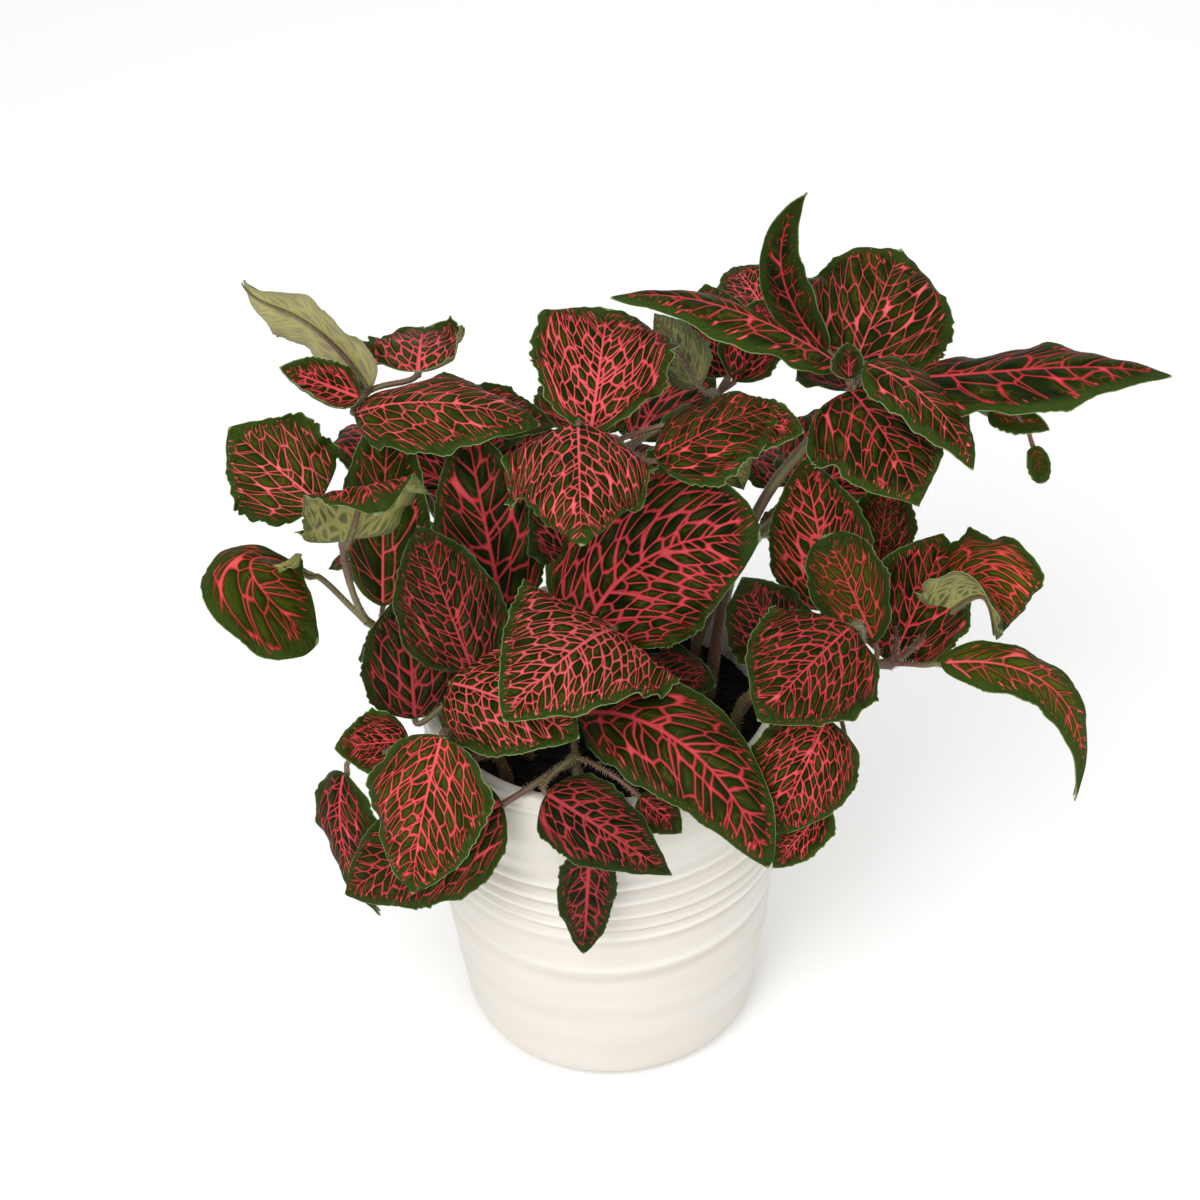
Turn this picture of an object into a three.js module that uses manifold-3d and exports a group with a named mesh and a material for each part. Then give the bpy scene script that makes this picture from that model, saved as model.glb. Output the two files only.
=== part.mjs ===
// Potted nerve plant: a ribbed ceramic pot filled with soil, and the leafy shoots that stand in it.
// Millimetres, +Z up, front at -Y. The origin is the middle of the pot's flat underside.
import * as THREE from 'three';
import { mergeVertices } from 'three/addons/utils/BufferGeometryUtils.js';
import Module from 'manifold-3d';

const wasm = await Module();
wasm.setup();

// Pot: a near-upright wall that draws in to a rounded foot.
const POT_HEIGHT = 142;
const POT_RIM_RADIUS = 62.5;
const POT_FOOT_RADIUS = 53.4;
const POT_FOOT_ROUNDING = 7.6;
const POT_BELLY = 2.2; // how fast the wall reaches its full width above the foot
const POT_WALL = 4.6;
const POT_FLOOR = 8;
const RIM_ROUNDING = 1.6;
const POT_FLOOR_ROUNDING = 6;
const POT_SEGMENTS = 26;
const FOOT_STEPS = [0, 0.15, 0.4, 0.7, 1]; // where the foot's rounding is split
const WALL_START = 22; // height where the plain wall above the foot begins
const INNER_HEIGHTS = [POT_FLOOR + POT_FLOOR_ROUNDING, 24, 55, 100]; // rings of the inner wall

// Throwing rings on the wall: the height of each, how far it stands out, and how wide it is.
const THROWING_RINGS = [
  { height: 121, relief: 0.5, width: 4 },
  { height: 104, relief: 0.7, width: 2.4 },
  { height: 96.5, relief: 0.7, width: 2 },
  { height: 90, relief: 0.7, width: 1.8 },
  { height: 84.5, relief: 0.6, width: 1.6 },
  { height: 78, relief: 0.7, width: 2 },
  { height: 64, relief: 0.9, width: 3 },
  { height: 42, relief: 0.4, width: 3 },
];

// Soil: fills the pot to a little below the rim.
const SOIL_TOP = 127;
const SOIL_SEGMENTS = 20;
const SOIL_RINGS = 3;
const SOIL_RELIEF = 1.2;
const SOIL_EDGE_DROP = 3; // the soil is this much lower where it meets the wall
const GAP = 0.3; // clearance between bodies that touch

// Stems and leaf stalks.
const STEM_ROOT_DEPTH = 12; // length of stem below the first point of its path
const STEM_SIDES = 5;
const STEPS_PER_SPAN = 2;
const STALK_RADIUS = 1.1;
const STALK_SIDES = 4;
const STALK_STEPS = 3;
const STALK_IN_BLADE = 6; // how far a stalk runs on under its blade
const STALK_SAMPLES = 6; // places along one span of a stem where a stalk may leave it
const STALK_SHORTEST = 6;
const STALK_LEAN = 0.6; // how far a stalk first follows the stem it leaves
const STALK_PULL_ROOT = 0.4; // share of its length over which it bends away from the stem
const STALK_PULL_BLADE = 0.35; // share of its length over which it bends into the blade
const SOFT_BEND = 0.5; // tension of the curve through a stem's points

// Leaf blades.
const BLADE_THICKNESS = 0.8;
const CELLS_ACROSS = 4;
const CELL_LENGTH = 12.9; // aimed length of one cell along the blade
const EDGE_WAVES = 2; // waves of the edge over the length of a blade
const EDGE_OFFSET = 0.37; // turns by which the waves of one edge run ahead of the other's
const EDGE_SHARPNESS = 1.5; // larger keeps the waves nearer the edge
const FEWEST_CELLS = 4; // rows of cells on the shortest blade
const SLOPE_STEP = 0.01; // step used to find how a blade is turned at a point

const POT_COLOUR = 0xf3f0e8;
const SOIL_COLOUR = 0x1d1712;
const LEAF_COLOUR = 0x7a4b3d;
const POT_ROUGHNESS = 0.35;
const SOIL_ROUGHNESS = 0.95;
const LEAF_ROUGHNESS = 0.45;

/** The form a leaf has unless its own entry says otherwise; angles in degrees. */
const PLAIN_LEAF = {
  cup: 0, // bend across the blade; below zero the edges turn down
  fold: 0, // angle at the midrib
  swing: 0, // sideways bow of the midrib
  reach: 1, // how strongly the arch and the bow are drawn out
  ruffle: 0.1, // height of the edge waves as a share of the half width
  wave: 0, // where the edge waves begin, in turns
  full: 0.5, // smaller is rounder at the stalk
  drawn: 0.85, // larger is more drawn out at the tip
};

/**
 * One leaf: where its blade starts and ends, its width, the direction its upper side faces
 * (turn about Z, rise), and how steeply it rises at the base and droops at the tip.
 */
function leaf(base, tip, width, face, arch, form = {}) {
  return { base, tip, width, face, arch, ...PLAIN_LEAF, ...form };
}

// Each shoot: its stem as a path out of the soil, and its leaves.
const SHOOTS = [
  {
    name: 'shoot_upper_left',
    stem: {
      radius: 2.0,
      points: [
        [-28, 18, 124], [-46, 34, 170], [-65, 47, 203], [-77, 47, 230], [-80, 46, 240],
      ],
    },
    leaves: [
      leaf([-75, 46, 237], [-119, 56, 267], 26, [90, 25], [25, 35], {
        cup: -20, swing: -15, ruffle: 0.16,
      }),
      leaf([-58.8, 50, 240], [-58.3, 84, 237], 37, [-90, 72], [20, 10], {
        cup: -10, wave: 0.2, full: 0.35, drawn: 0.45,
      }),
      leaf([-78, 38, 238], [-103, 34, 253], 18, [-90, 45], [0, 20], { wave: 0.1 }),
      leaf([-80, 38, 232], [-18, 22, 235], 36, [-90, 70], [32, 35], { cup: -50, wave: 0.3 }),
      leaf([-48, 52, 226], [-14, 58, 211], 20, [-90, 60], [10, 20], { cup: -10, wave: 0.4 }),
      leaf([-72, 49, 207], [-86, 86, 196], 30, [120, 70], [10, 30], { cup: -20, wave: 0.4 }),
    ],
  },
  {
    name: 'shoot_left',
    stem: { radius: 1.9, points: [[-38, 2, 124], [-44, 2, 142], [-60, 1, 155], [-79, 0, 173]] },
    leaves: [
      leaf([-75, 18, 166], [-68, 46, 233], 32, [-100, 25], [10, 20], { cup: -15, fold: 5, wave: 0.6 }),
      leaf([-93, 18, 210], [-121, 28, 234], 40, [-100, 40], [0, 15], {
        cup: -10, ruffle: 0.12, wave: 0.1,
      }),
      leaf([-84, 8, 201], [-70, -12, 225], 42, [110, 45], [15, 90], {
        cup: -10, reach: 1.9, wave: 0.7, full: 0.4, drawn: 0.6,
      }),
      leaf([-96.4, 12, 184.4], [-94.2, -14, 175.5], 38, [-90, 90], [82, 80], {
        cup: -10, swing: 45, reach: 3.9, wave: 0.5, full: 1.5, drawn: 0.6,
      }),
    ],
  },
  {
    name: 'shoot_middle_left',
    stem: { radius: 2.0, points: [[-25, -18, 124], [-36, -22, 145], [-43, -23, 160]] },
    leaves: [
      leaf([-33, 10, 166], [-43, 38, 226], 38, [-90, 30], [10, 15], { cup: -15, wave: 0.2 }),
      leaf([-43, -24, 170], [-59, 2, 210], 37, [-90, 35], [5, 15], {
        cup: -10, ruffle: 0.08, wave: 0.6,
      }),
      leaf([-63, -28, 153], [-64, -2, 187], 35, [-90, 30], [0, 15], { wave: 0.8 }),
      leaf([-50, -25, 165], [-8, -60, 169], 41, [-100, 60], [25, 30], { cup: -10, wave: 0.1 }),
    ],
  },
  {
    name: 'shoot_middle',
    stem: { radius: 2.0, points: [[-2, -5, 124], [-5, -6, 145], [-4, -4, 166]] },
    leaves: [
      leaf([4, -17, 179], [-31, -67, 183], 60, [-90, 60], [35, 40], {
        cup: -8, ruffle: 0.08, wave: 0.3, full: 0.16, drawn: 0.8,
      }),
      leaf([-7, -2, 164], [54, 4, 200], 60, [-90, 42], [10, 20], {
        cup: -15, fold: 5, swing: -42, ruffle: 0.08, wave: 0.4, drawn: 0.6,
      }),
      leaf([-9, 14, 182], [-20, 26, 207], 20, [-90, 30], [5, 15], { wave: 0.5 }),
      leaf([0, 14, 168], [-10, 24, 205], 24, [-90, 30], [5, 15], { wave: 0.5 }),
      leaf([8, -2, 146], [38, -20, 156], 28, [-90, 70], [10, 20], { wave: 0.4 }),
    ],
  },
  {
    name: 'shoot_upper_middle',
    stem: {
      radius: 2.1,
      points: [
        [10, 22, 124], [13, 37, 165], [12, 36, 200], [8, 20, 228], [4, 8, 238],
      ],
    },
    leaves: [
      leaf([14, 34, 190], [42, 36, 214], 24, [-90, 40], [5, 15], { wave: 0.5 }),
      leaf([22, 30, 205], [34, 20, 228], 22, [-90, 20], [5, 15], { wave: 0.5 }),
      leaf([-1, 8, 241], [6, 48, 263], 47, [-90, 50], [0, 20], {
        cup: -10, ruffle: 0.12, wave: 0.5, full: 0.7, drawn: 0.38,
      }),
      leaf([-5, 4, 246], [-5, -38, 229], 57, [-90, 60], [25, 45], {
        cup: -60, ruffle: 0.12, wave: 0.6, full: 0.25, drawn: 0.75,
      }),
      leaf([20, 4, 232], [62, 17, 243], 35, [-90, 70], [15, 30], { cup: -40, wave: 0.8 }),
      leaf([46, 16, 239], [68, 8, 238], 18, [-60, 40], [10, 20], { wave: 0.1 }),
      leaf([38, 30, 230], [50, 26, 204], 20, [100, 0], [10, 20], { wave: 0.1 }),
    ],
  },
  {
    name: 'shoot_behind_middle',
    stem: { radius: 1.9, points: [[25, 30, 124], [34, 46, 175], [43, 59, 221]] },
    leaves: [
      leaf([36, 45, 234], [22, 66, 250], 18, [100, 10], [10, 30], { wave: 0.7 }),
      leaf([46.8, 60, 228], [40.3, 86, 249.3], 31, [-90, 40], [0, 20], { cup: -20, wave: 0.2 }),
      leaf([49, 60, 226], [65, 88, 241], 25, [-90, 40], [0, 20], { fold: 25, wave: 0.3 }),
      leaf([62, 86, 238], [52, 114, 240], 26, [-90, 50], [0, 20], { wave: 0.4 }),
    ],
  },
  {
    name: 'shoot_upper_right',
    stem: {
      radius: 2.2,
      points: [
        [37, 9, 124], [42, 14, 160], [49, 18, 186], [62, 28, 207], [84, 36, 230], [90, 40, 240],
      ],
    },
    leaves: [
      leaf([88, 45, 239], [107, 83, 262], 55, [-90, 50], [0, 20], {
        cup: -20, ruffle: 0.12, wave: 0.5, drawn: 0.7,
      }),
      leaf([79, 48, 244], [70, 50, 304], 20, [-140, 20], [-10, -10], { swing: -60, wave: 0.6 }),
      leaf([82, 38, 245], [7, 34, 275], 24, [-90, 80], [20, 35], { cup: -60, wave: 0.7 }),
      leaf([86, 34, 237], [104, -10, 220], 50, [-90, 60], [25, 45], {
        cup: -30, wave: 0.8, drawn: 0.75,
      }),
      leaf([89.8, 27, 251.5], [120.8, -8, 232], 25, [-60, 75], [25, 35], {
        cup: -30, swing: -12, wave: 0.1,
      }),
      leaf([103, 30, 244], [184, 4, 257], 33, [-90, 75], [15, 50], {
        cup: -40, wave: 0.2, drawn: 0.95,
      }),
      leaf([132, 30, 229], [151, 22, 226.5], 12, [-90, 60], [10, 30], { wave: 0.3 }),
      leaf([146, 20, 221.5], [149.4, 16, 209.5], 8, [-90, 30], [10, 20], {
        wave: 0.3, full: 0.4, drawn: 0.45,
      }),
      leaf([84, 24, 247.5], [84, 33, 256], 11, [-90, 50], [0, 20], { cup: 20, wave: 0.4 }),
      leaf([87, 42, 232], [80, 86, 226], 30, [90, 70], [10, 30], { cup: -20, wave: 0.2 }),
    ],
  },
  {
    name: 'shoot_right',
    stem: {
      radius: 2.2,
      points: [
        [44, -12, 124], [48, -13, 142], [62, -14, 155], [80, -15, 159], [97, -15, 159],
      ],
    },
    leaves: [
      leaf([80, 8, 165], [71, 34, 210], 37, [-90, 30], [5, 20], { cup: -20, wave: 0.5 }),
      leaf([97, 25, 173], [102, 45, 193], 24, [-90, 30], [5, 20], { wave: 0.6 }),
      leaf([92, -12, 166], [76, 2, 201], 26, [-90, 30], [5, 20], { wave: 0.7, full: 0.6, drawn: 0.45 }),
      leaf([99, -5, 152], [119, 25, 183], 39, [-80, 40], [15, 30], { cup: -10, wave: 0.8 }),
      leaf([118.2, 6, 164.5], [134, -6, 161.3], 46, [0, 90], [65, 75], {
        cup: -25, fold: 55, reach: 3.2, wave: 0.9,
      }),
      leaf([113, -22, 164], [156.5, -48, 124.5], 21, [-60, 75], [55, 55], {
        cup: -20, swing: -25, reach: 1.5, wave: 0.1, drawn: 1.1,
      }),
      leaf([62, -8, 158], [48, 0, 186], 30, [-90, 30], [5, 20], { wave: 0.2 }),
      leaf([81, -30, 187], [49, -64, 177], 46, [-90, 55], [20, 35], {
        cup: -20, ruffle: 0.08, wave: 0.2,
      }),
      leaf([72, -50, 165], [54, -70, 134], 36, [-90, 45], [20, 25], {
        cup: -20, ruffle: 0.08, wave: 0.3,
      }),
      leaf([72, -60, 137], [54, -71, 120], 17, [-90, 45], [10, 20], { wave: 0.4 }),
    ],
  },
  {
    name: 'shoot_front',
    stem: { radius: 2.0, points: [[-8, -38, 124], [-10, -48, 151]] },
    leaves: [
      leaf([-8, -30, 153.5], [49, -77, 129], 38, [-90, 60], [55, 62], {
        cup: -25, swing: -18, reach: 1.35, ruffle: 0.08, wave: 0.5,
      }),
      leaf([-19, -62, 147.5], [20, -86, 132.5], 29, [-90, 50], [10, 20], {
        cup: -20, wave: 0.6, full: 0.45, drawn: 0.8,
      }),
      leaf([-6, -77, 134], [-9, -76, 91], 19, [-90, 20], [10, 10], {
        cup: -20, wave: 0.7, drawn: 0.45,
      }),
      leaf([11, -64, 147], [24, -70, 136], 14, [-90, 50], [0, 10], { wave: 0.8 }),
      leaf([-34, -60, 142], [-88, -62, 106], 42, [-110, 45], [20, 20], { cup: -20, wave: 0.2 }),
    ],
  },
  {
    name: 'shoot_front_left',
    stem: { radius: 1.9, points: [[-32, -34, 124], [-36, -37, 143], [-45, -45, 149], [-52, -50, 154]] },
    leaves: [
      leaf([-52, -57, 169], [-64, -76, 119], 42, [-110, 45], [15, 20], { cup: -20, wave: 0.1 }),
      leaf([-88, -33, 134], [-79, -50, 84], 27, [-140, 30], [20, 20], {
        cup: -20, swing: 18, wave: 0.3, drawn: 1.1,
      }),
      leaf([-65, -36, 150], [-89, -40, 151], 22, [-90, 50], [10, 20], { wave: 0.4 }),
    ],
  },
  {
    name: 'shoot_back_left',
    stem: { radius: 1.9, points: [[-20, 32, 124], [-26, 42, 145], [-36, 60, 163], [-45, 76, 182]] },
    leaves: [
      leaf([-50, 80, 172], [-94, 90, 182], 34, [-120, 70], [10, 30], { cup: -10, wave: 0.1 }),
      leaf([-40, 88, 182], [-45, 130, 182], 38, [-90, 80], [20, 40], { cup: -20, wave: 0.3 }),
      leaf([-55, 65, 160], [-98, 62, 150], 34, [180, 70], [20, 40], { cup: -20, wave: 0.5 }),
      leaf([-40, 80, 176], [-12, 106, 178], 32, [90, 80], [10, 30], { cup: -20, wave: 0.8 }),
      leaf([-47, 73, 172], [-86, 112, 160], 34, [120, 60], [15, 30], { cup: -20, wave: 0.9 }),
    ],
  },
  {
    name: 'shoot_back',
    stem: { radius: 1.9, points: [[5, 38, 124], [5, 46, 142], [5, 66, 162], [5, 84, 182]] },
    leaves: [
      leaf([0, 90, 187], [-5, 140, 180], 40, [90, 70], [20, 40], { cup: -20, wave: 0.2 }),
      leaf([15, 88, 185], [45, 130, 190], 38, [90, 70], [20, 40], { cup: -20, wave: 0.4 }),
      leaf([5, 80, 160], [10, 125, 140], 36, [90, 60], [20, 40], { cup: -20, wave: 0.4 }),
      leaf([2, 80, 172], [-36, 112, 150], 34, [120, 60], [15, 35], { cup: -20, wave: 0.5 }),
      leaf([8, 80, 174], [44, 108, 164], 34, [60, 60], [15, 35], { cup: -20, wave: 0.3 }),
    ],
  },
  {
    name: 'shoot_back_right',
    stem: { radius: 1.9, points: [[32, 28, 124], [38, 34, 144], [54, 50, 162], [72, 65, 172]] },
    leaves: [
      leaf([80, 68, 175], [128, 85, 185], 38, [0, 70], [20, 40], { cup: -20, wave: 0.6 }),
      leaf([70, 80, 168], [72, 122, 158], 38, [90, 70], [20, 40], { cup: -20, wave: 0.8 }),
      leaf([80, 60, 155], [120, 60, 140], 36, [0, 70], [20, 40], { cup: -20, wave: 0.9 }),
      leaf([73, 69, 174], [100, 112, 184], 34, [60, 70], [10, 30], { cup: -20, wave: 0.1 }),
      leaf([62, 58, 162], [98, 86, 146], 32, [45, 60], [15, 30], { cup: -20, wave: 0.6 }),
    ],
  },
  {
    name: 'shoot_low_left',
    stem: { radius: 1.8, points: [[-40, 18, 124], [-45, 21, 143], [-53, 25, 152]] },
    leaves: [
      leaf([-64, 24, 149], [-86, 44, 128], 30, [180, 60], [15, 30], { cup: -20, wave: 0.9 }),
      leaf([-58, 34, 152], [-70, 72, 142], 30, [120, 70], [15, 30], { cup: -20, wave: 0.9 }),
    ],
  },
];

const point = ([x, y, z]) => new THREE.Vector3(x, y, z);

/** Closed, merged mesh of a geometry as a solid; triangles that have closed up are dropped. */
function solid(geometry) {
  const bare = geometry.clone();
  bare.deleteAttribute('normal');
  bare.deleteAttribute('uv');
  const merged = mergeVertices(bare, 1e-4);
  const index = merged.index.array;
  const triangles = [];
  for (let i = 0; i < index.length; i += 3) {
    const [a, b, c] = index.slice(i, i + 3);
    if (a !== b && b !== c && c !== a) triangles.push(a, b, c);
  }
  const vertProperties = new Float32Array(merged.attributes.position.array);
  const triVerts = new Uint32Array(triangles);
  return new wasm.Manifold(new wasm.Mesh({ numProp: 3, vertProperties, triVerts }));
}

/** A named mesh of a solid or of a geometry. */
function piece(name, body, colour, roughness) {
  let geometry = body;
  if (!body.isBufferGeometry) {
    const { vertProperties, triVerts } = body.getMesh();
    geometry = new THREE.BufferGeometry();
    geometry.setAttribute('position', new THREE.BufferAttribute(vertProperties, 3));
    geometry.setIndex(new THREE.BufferAttribute(triVerts, 1));
  }
  const material = new THREE.MeshStandardMaterial({ color: colour, roughness, metalness: 0 });
  const mesh = new THREE.Mesh(geometry, material);
  mesh.name = name;
  return mesh;
}

/** A many-sided rod of even radius along a curve. */
function rod(curve, radius, sides, steps) {
  const corners = [];
  for (let i = 0; i < sides; i += 1) {
    const angle = (2 * Math.PI * i) / sides;
    corners.push(new THREE.Vector2(radius * Math.cos(angle), radius * Math.sin(angle)));
  }
  const options = { extrudePath: curve, steps, bevelEnabled: false };
  return solid(new THREE.ExtrudeGeometry(new THREE.Shape(corners), options));
}

/** Radius of the pot's wall at a height, before the throwing rings. */
function wallRadius(z) {
  const spread = 1 - (1 - z / POT_HEIGHT) ** POT_BELLY;
  const radius = POT_FOOT_RADIUS + (POT_RIM_RADIUS - POT_FOOT_RADIUS) * spread;
  if (z >= POT_FOOT_ROUNDING) return radius;
  const drop = (POT_FOOT_ROUNDING - z) / POT_FOOT_ROUNDING;
  return radius - POT_FOOT_ROUNDING * (1 - Math.sqrt(1 - drop * drop));
}

/** Radius of the flat part of the pot's inner floor. */
function floorRadius() {
  return wallRadius(POT_FLOOR) - POT_WALL - POT_FLOOR_ROUNDING;
}

/** Pot turned from one closed profile: flat underside, rounded foot, ringed wall, hollow inside. */
function buildPot() {
  const profile = [new THREE.Vector2(0, 0)];
  for (const share of FOOT_STEPS) {
    const z = share * POT_FOOT_ROUNDING;
    profile.push(new THREE.Vector2(wallRadius(z), z));
  }
  profile.push(new THREE.Vector2(wallRadius(WALL_START), WALL_START));
  for (const ring of [...THROWING_RINGS].reverse()) {
    const { height, relief, width } = ring;
    profile.push(new THREE.Vector2(wallRadius(height - width), height - width));
    profile.push(new THREE.Vector2(wallRadius(height) + relief, height));
  }
  const rimFoot = POT_HEIGHT - RIM_ROUNDING;
  profile.push(new THREE.Vector2(wallRadius(rimFoot), rimFoot));
  profile.push(new THREE.Vector2(POT_RIM_RADIUS - RIM_ROUNDING, POT_HEIGHT));
  profile.push(new THREE.Vector2(POT_RIM_RADIUS - POT_WALL + RIM_ROUNDING, POT_HEIGHT));
  profile.push(new THREE.Vector2(POT_RIM_RADIUS - POT_WALL, rimFoot));
  for (const z of [...INNER_HEIGHTS].reverse()) {
    profile.push(new THREE.Vector2(wallRadius(z) - POT_WALL, z));
  }
  profile.push(new THREE.Vector2(floorRadius(), POT_FLOOR));
  profile.push(new THREE.Vector2(0, POT_FLOOR));
  return upright(new THREE.LatheGeometry(profile, POT_SEGMENTS));
}

/** A lathe geometry turned from its own Y axis to the Z axis. */
function upright(geometry) {
  return geometry.rotateX(Math.PI / 2);
}

/** Height of the soil's uneven top above its level: two crossing sets of low swells. */
function soilRelief(x, y) {
  const broad = Math.sin(x * 0.23 + 1) * Math.cos(y * 0.19);
  const fine = Math.sin(x * 0.41 - y * 0.37);
  return SOIL_RELIEF * (broad + fine / 2);
}

/** Soil that fills the inside of the pot, with a plain hole for each stem. */
function buildSoil(stems) {
  const profile = [new THREE.Vector2(0, POT_FLOOR + GAP)];
  profile.push(new THREE.Vector2(floorRadius() - GAP, POT_FLOOR + GAP));
  for (const z of [...INNER_HEIGHTS, SOIL_TOP - SOIL_EDGE_DROP]) {
    profile.push(new THREE.Vector2(wallRadius(z) - POT_WALL - 2 * GAP, z));
  }
  const edge = wallRadius(SOIL_TOP) - POT_WALL - 2 * GAP;
  for (let ring = SOIL_RINGS; ring > 0; ring -= 1) {
    const share = ring / (SOIL_RINGS + 0.5);
    profile.push(new THREE.Vector2(edge * share, SOIL_TOP));
  }
  profile.push(new THREE.Vector2(0, SOIL_TOP));
  const geometry = upright(new THREE.LatheGeometry(profile, SOIL_SEGMENTS));
  const { position } = geometry.attributes;
  for (let i = 0; i < position.count; i += 1) {
    if (position.getZ(i) < SOIL_TOP - SOIL_EDGE_DROP / 2) continue;
    position.setZ(i, SOIL_TOP + soilRelief(position.getX(i), position.getY(i)));
  }
  let soil = solid(geometry);
  for (const { path, radius } of stems) {
    const foot = path.getPoint(0);
    const way = path.getTangent(0);
    const start = foot.clone().addScaledVector(way, -STEM_ROOT_DEPTH - GAP);
    const end = foot.clone().addScaledVector(way, STEM_ROOT_DEPTH);
    soil = soil.subtract(rod(new THREE.LineCurve3(start, end), radius + 2 * GAP, STEM_SIDES, 1));
  }
  return soil;
}

/** The moving frame of a leaf: its midrib as a curve, with the upper side's direction along it. */
function leafFrame({ base, tip, face, arch, swing, reach }) {
  const start = point(base);
  const end = point(tip);
  const chord = end.clone().sub(start);
  const along = chord.clone().normalize();
  const [turn, rise] = face.map(THREE.MathUtils.degToRad);
  const up = new THREE.Vector3(
    Math.cos(turn) * Math.cos(rise),
    Math.sin(turn) * Math.cos(rise),
    Math.sin(rise),
  );
  up.addScaledVector(along, -up.dot(along)).normalize();
  const aside = along.clone().cross(up);
  const [lift, droop] = arch.map(THREE.MathUtils.degToRad);
  const bow = Math.sin(THREE.MathUtils.degToRad(swing));
  const pull = (chord.length() * reach) / 3;
  const first = start.clone()
    .addScaledVector(along, pull * Math.cos(lift))
    .addScaledVector(up, pull * Math.sin(lift))
    .addScaledVector(aside, pull * bow);
  const second = end.clone()
    .addScaledVector(along, -pull * Math.cos(droop))
    .addScaledVector(up, pull * Math.sin(droop))
    .addScaledVector(aside, pull * bow);
  return { midrib: new THREE.CubicBezierCurve3(start, first, second, end), up };
}

/** Half width of a blade at a share t of its length, as a share of its greatest half width. */
function blade({ full, drawn }, t) {
  const widest = full / (full + drawn);
  const most = widest ** full * (1 - widest) ** drawn;
  return (t ** full * (1 - t) ** drawn) / most;
}

/** A point of a leaf's middle sheet at t along it and v across it (-1 to 1), with its frame. */
function sheetPoint(form, { midrib, up }, t, v) {
  const along = midrib.getTangent(t);
  const normal = up.clone().addScaledVector(along, -up.dot(along)).normalize();
  const aside = along.clone().cross(normal);
  const side = Math.sign(v);
  const span = Math.abs(v);
  const reach = (form.width / 2) * blade(form, t) * span;
  const bend = THREE.MathUtils.degToRad(form.fold + (form.cup * span) / 2);
  const turns = EDGE_WAVES * t + form.wave + (v > 0 ? EDGE_OFFSET : 0);
  const wave = form.ruffle * reach * span ** EDGE_SHARPNESS * Math.sin(2 * Math.PI * turns);
  const spot = midrib.getPoint(t)
    .addScaledVector(aside, side * reach * Math.cos(bend))
    .addScaledVector(normal, reach * Math.sin(bend) + wave);
  return { spot, normal };
}

/** The direction a leaf's upper side faces at t along it and v across it. */
function facing(form, frame, t, v) {
  const { spot, normal } = sheetPoint(form, frame, t, v);
  if (blade(form, t) < SLOPE_STEP) return normal;
  const besideStep = v < 1 ? SLOPE_STEP : -SLOPE_STEP;
  const aheadStep = t < 0.9 ? SLOPE_STEP : -SLOPE_STEP;
  const beside = sheetPoint(form, frame, t, v + besideStep).spot.sub(spot);
  const ahead = sheetPoint(form, frame, t + aheadStep, v).spot.sub(spot);
  const outward = beside.cross(ahead).normalize();
  return outward.dot(normal) < 0 ? outward.negate() : outward;
}

/** A leaf blade: one sheet offset to both sides, the two faces split into triangles alike. */
function buildBlade(form) {
  const frame = leafFrame(form);
  const cells = Math.max(FEWEST_CELLS, Math.round(frame.midrib.getLength() / CELL_LENGTH));
  const sheet = new THREE.PlaneGeometry(2, 1, CELLS_ACROSS, cells);
  const { position } = sheet.attributes;
  const count = position.count;
  const upper = [];
  const under = [];
  for (let i = 0; i < count; i += 1) {
    const v = position.getX(i);
    const t = THREE.MathUtils.clamp(position.getY(i) + 0.5, 0, 1);
    const { spot } = sheetPoint(form, frame, t, v);
    const outward = facing(form, frame, t, v);
    upper.push(spot.clone().addScaledVector(outward, BLADE_THICKNESS / 2));
    under.push(spot.clone().addScaledVector(outward, -BLADE_THICKNESS / 2));
  }
  const triangles = [...sheet.index.array];
  for (let i = 0; i < sheet.index.count; i += 3) {
    const [a, b, c] = sheet.index.array.slice(i, i + 3);
    triangles.push(count + a, count + c, count + b);
  }
  const rim = rimOfGrid(CELLS_ACROSS + 1, cells + 1);
  rim.forEach((a, i) => {
    const b = rim[(i + 1) % rim.length];
    triangles.push(a, b, count + a, b, count + b, count + a);
  });
  const geometry = new THREE.BufferGeometry().setFromPoints([...upper, ...under]);
  geometry.setIndex(triangles);
  return solid(geometry);
}

/** Vertex numbers around the edge of a grid, in one direction. */
function rimOfGrid(columns, rows) {
  const rim = [];
  for (let i = 0; i < columns - 1; i += 1) rim.push(i);
  for (let i = 0; i < rows - 1; i += 1) rim.push(columns - 1 + i * columns);
  for (let i = columns - 1; i > 0; i -= 1) rim.push((rows - 1) * columns + i);
  for (let i = rows - 1; i > 0; i -= 1) rim.push(i * columns);
  return rim;
}

/** The place where a leaf's stalk leaves its stem, and the direction the stem has there. */
function stalkRoot(base, stem) {
  const places = stem.path.getPoints((stem.points.length - 1) * STALK_SAMPLES);
  let nearest = 0;
  places.forEach((place, i) => {
    if (place.distanceTo(base) < places[nearest].distanceTo(base)) nearest = i;
  });
  if (places[nearest].distanceTo(base) < STALK_SHORTEST && nearest > 0) nearest -= 1;
  const before = places[Math.max(nearest - 1, 0)];
  const after = places[Math.min(nearest + 1, places.length - 1)];
  return { root: places[nearest], growth: after.clone().sub(before).normalize() };
}

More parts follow.
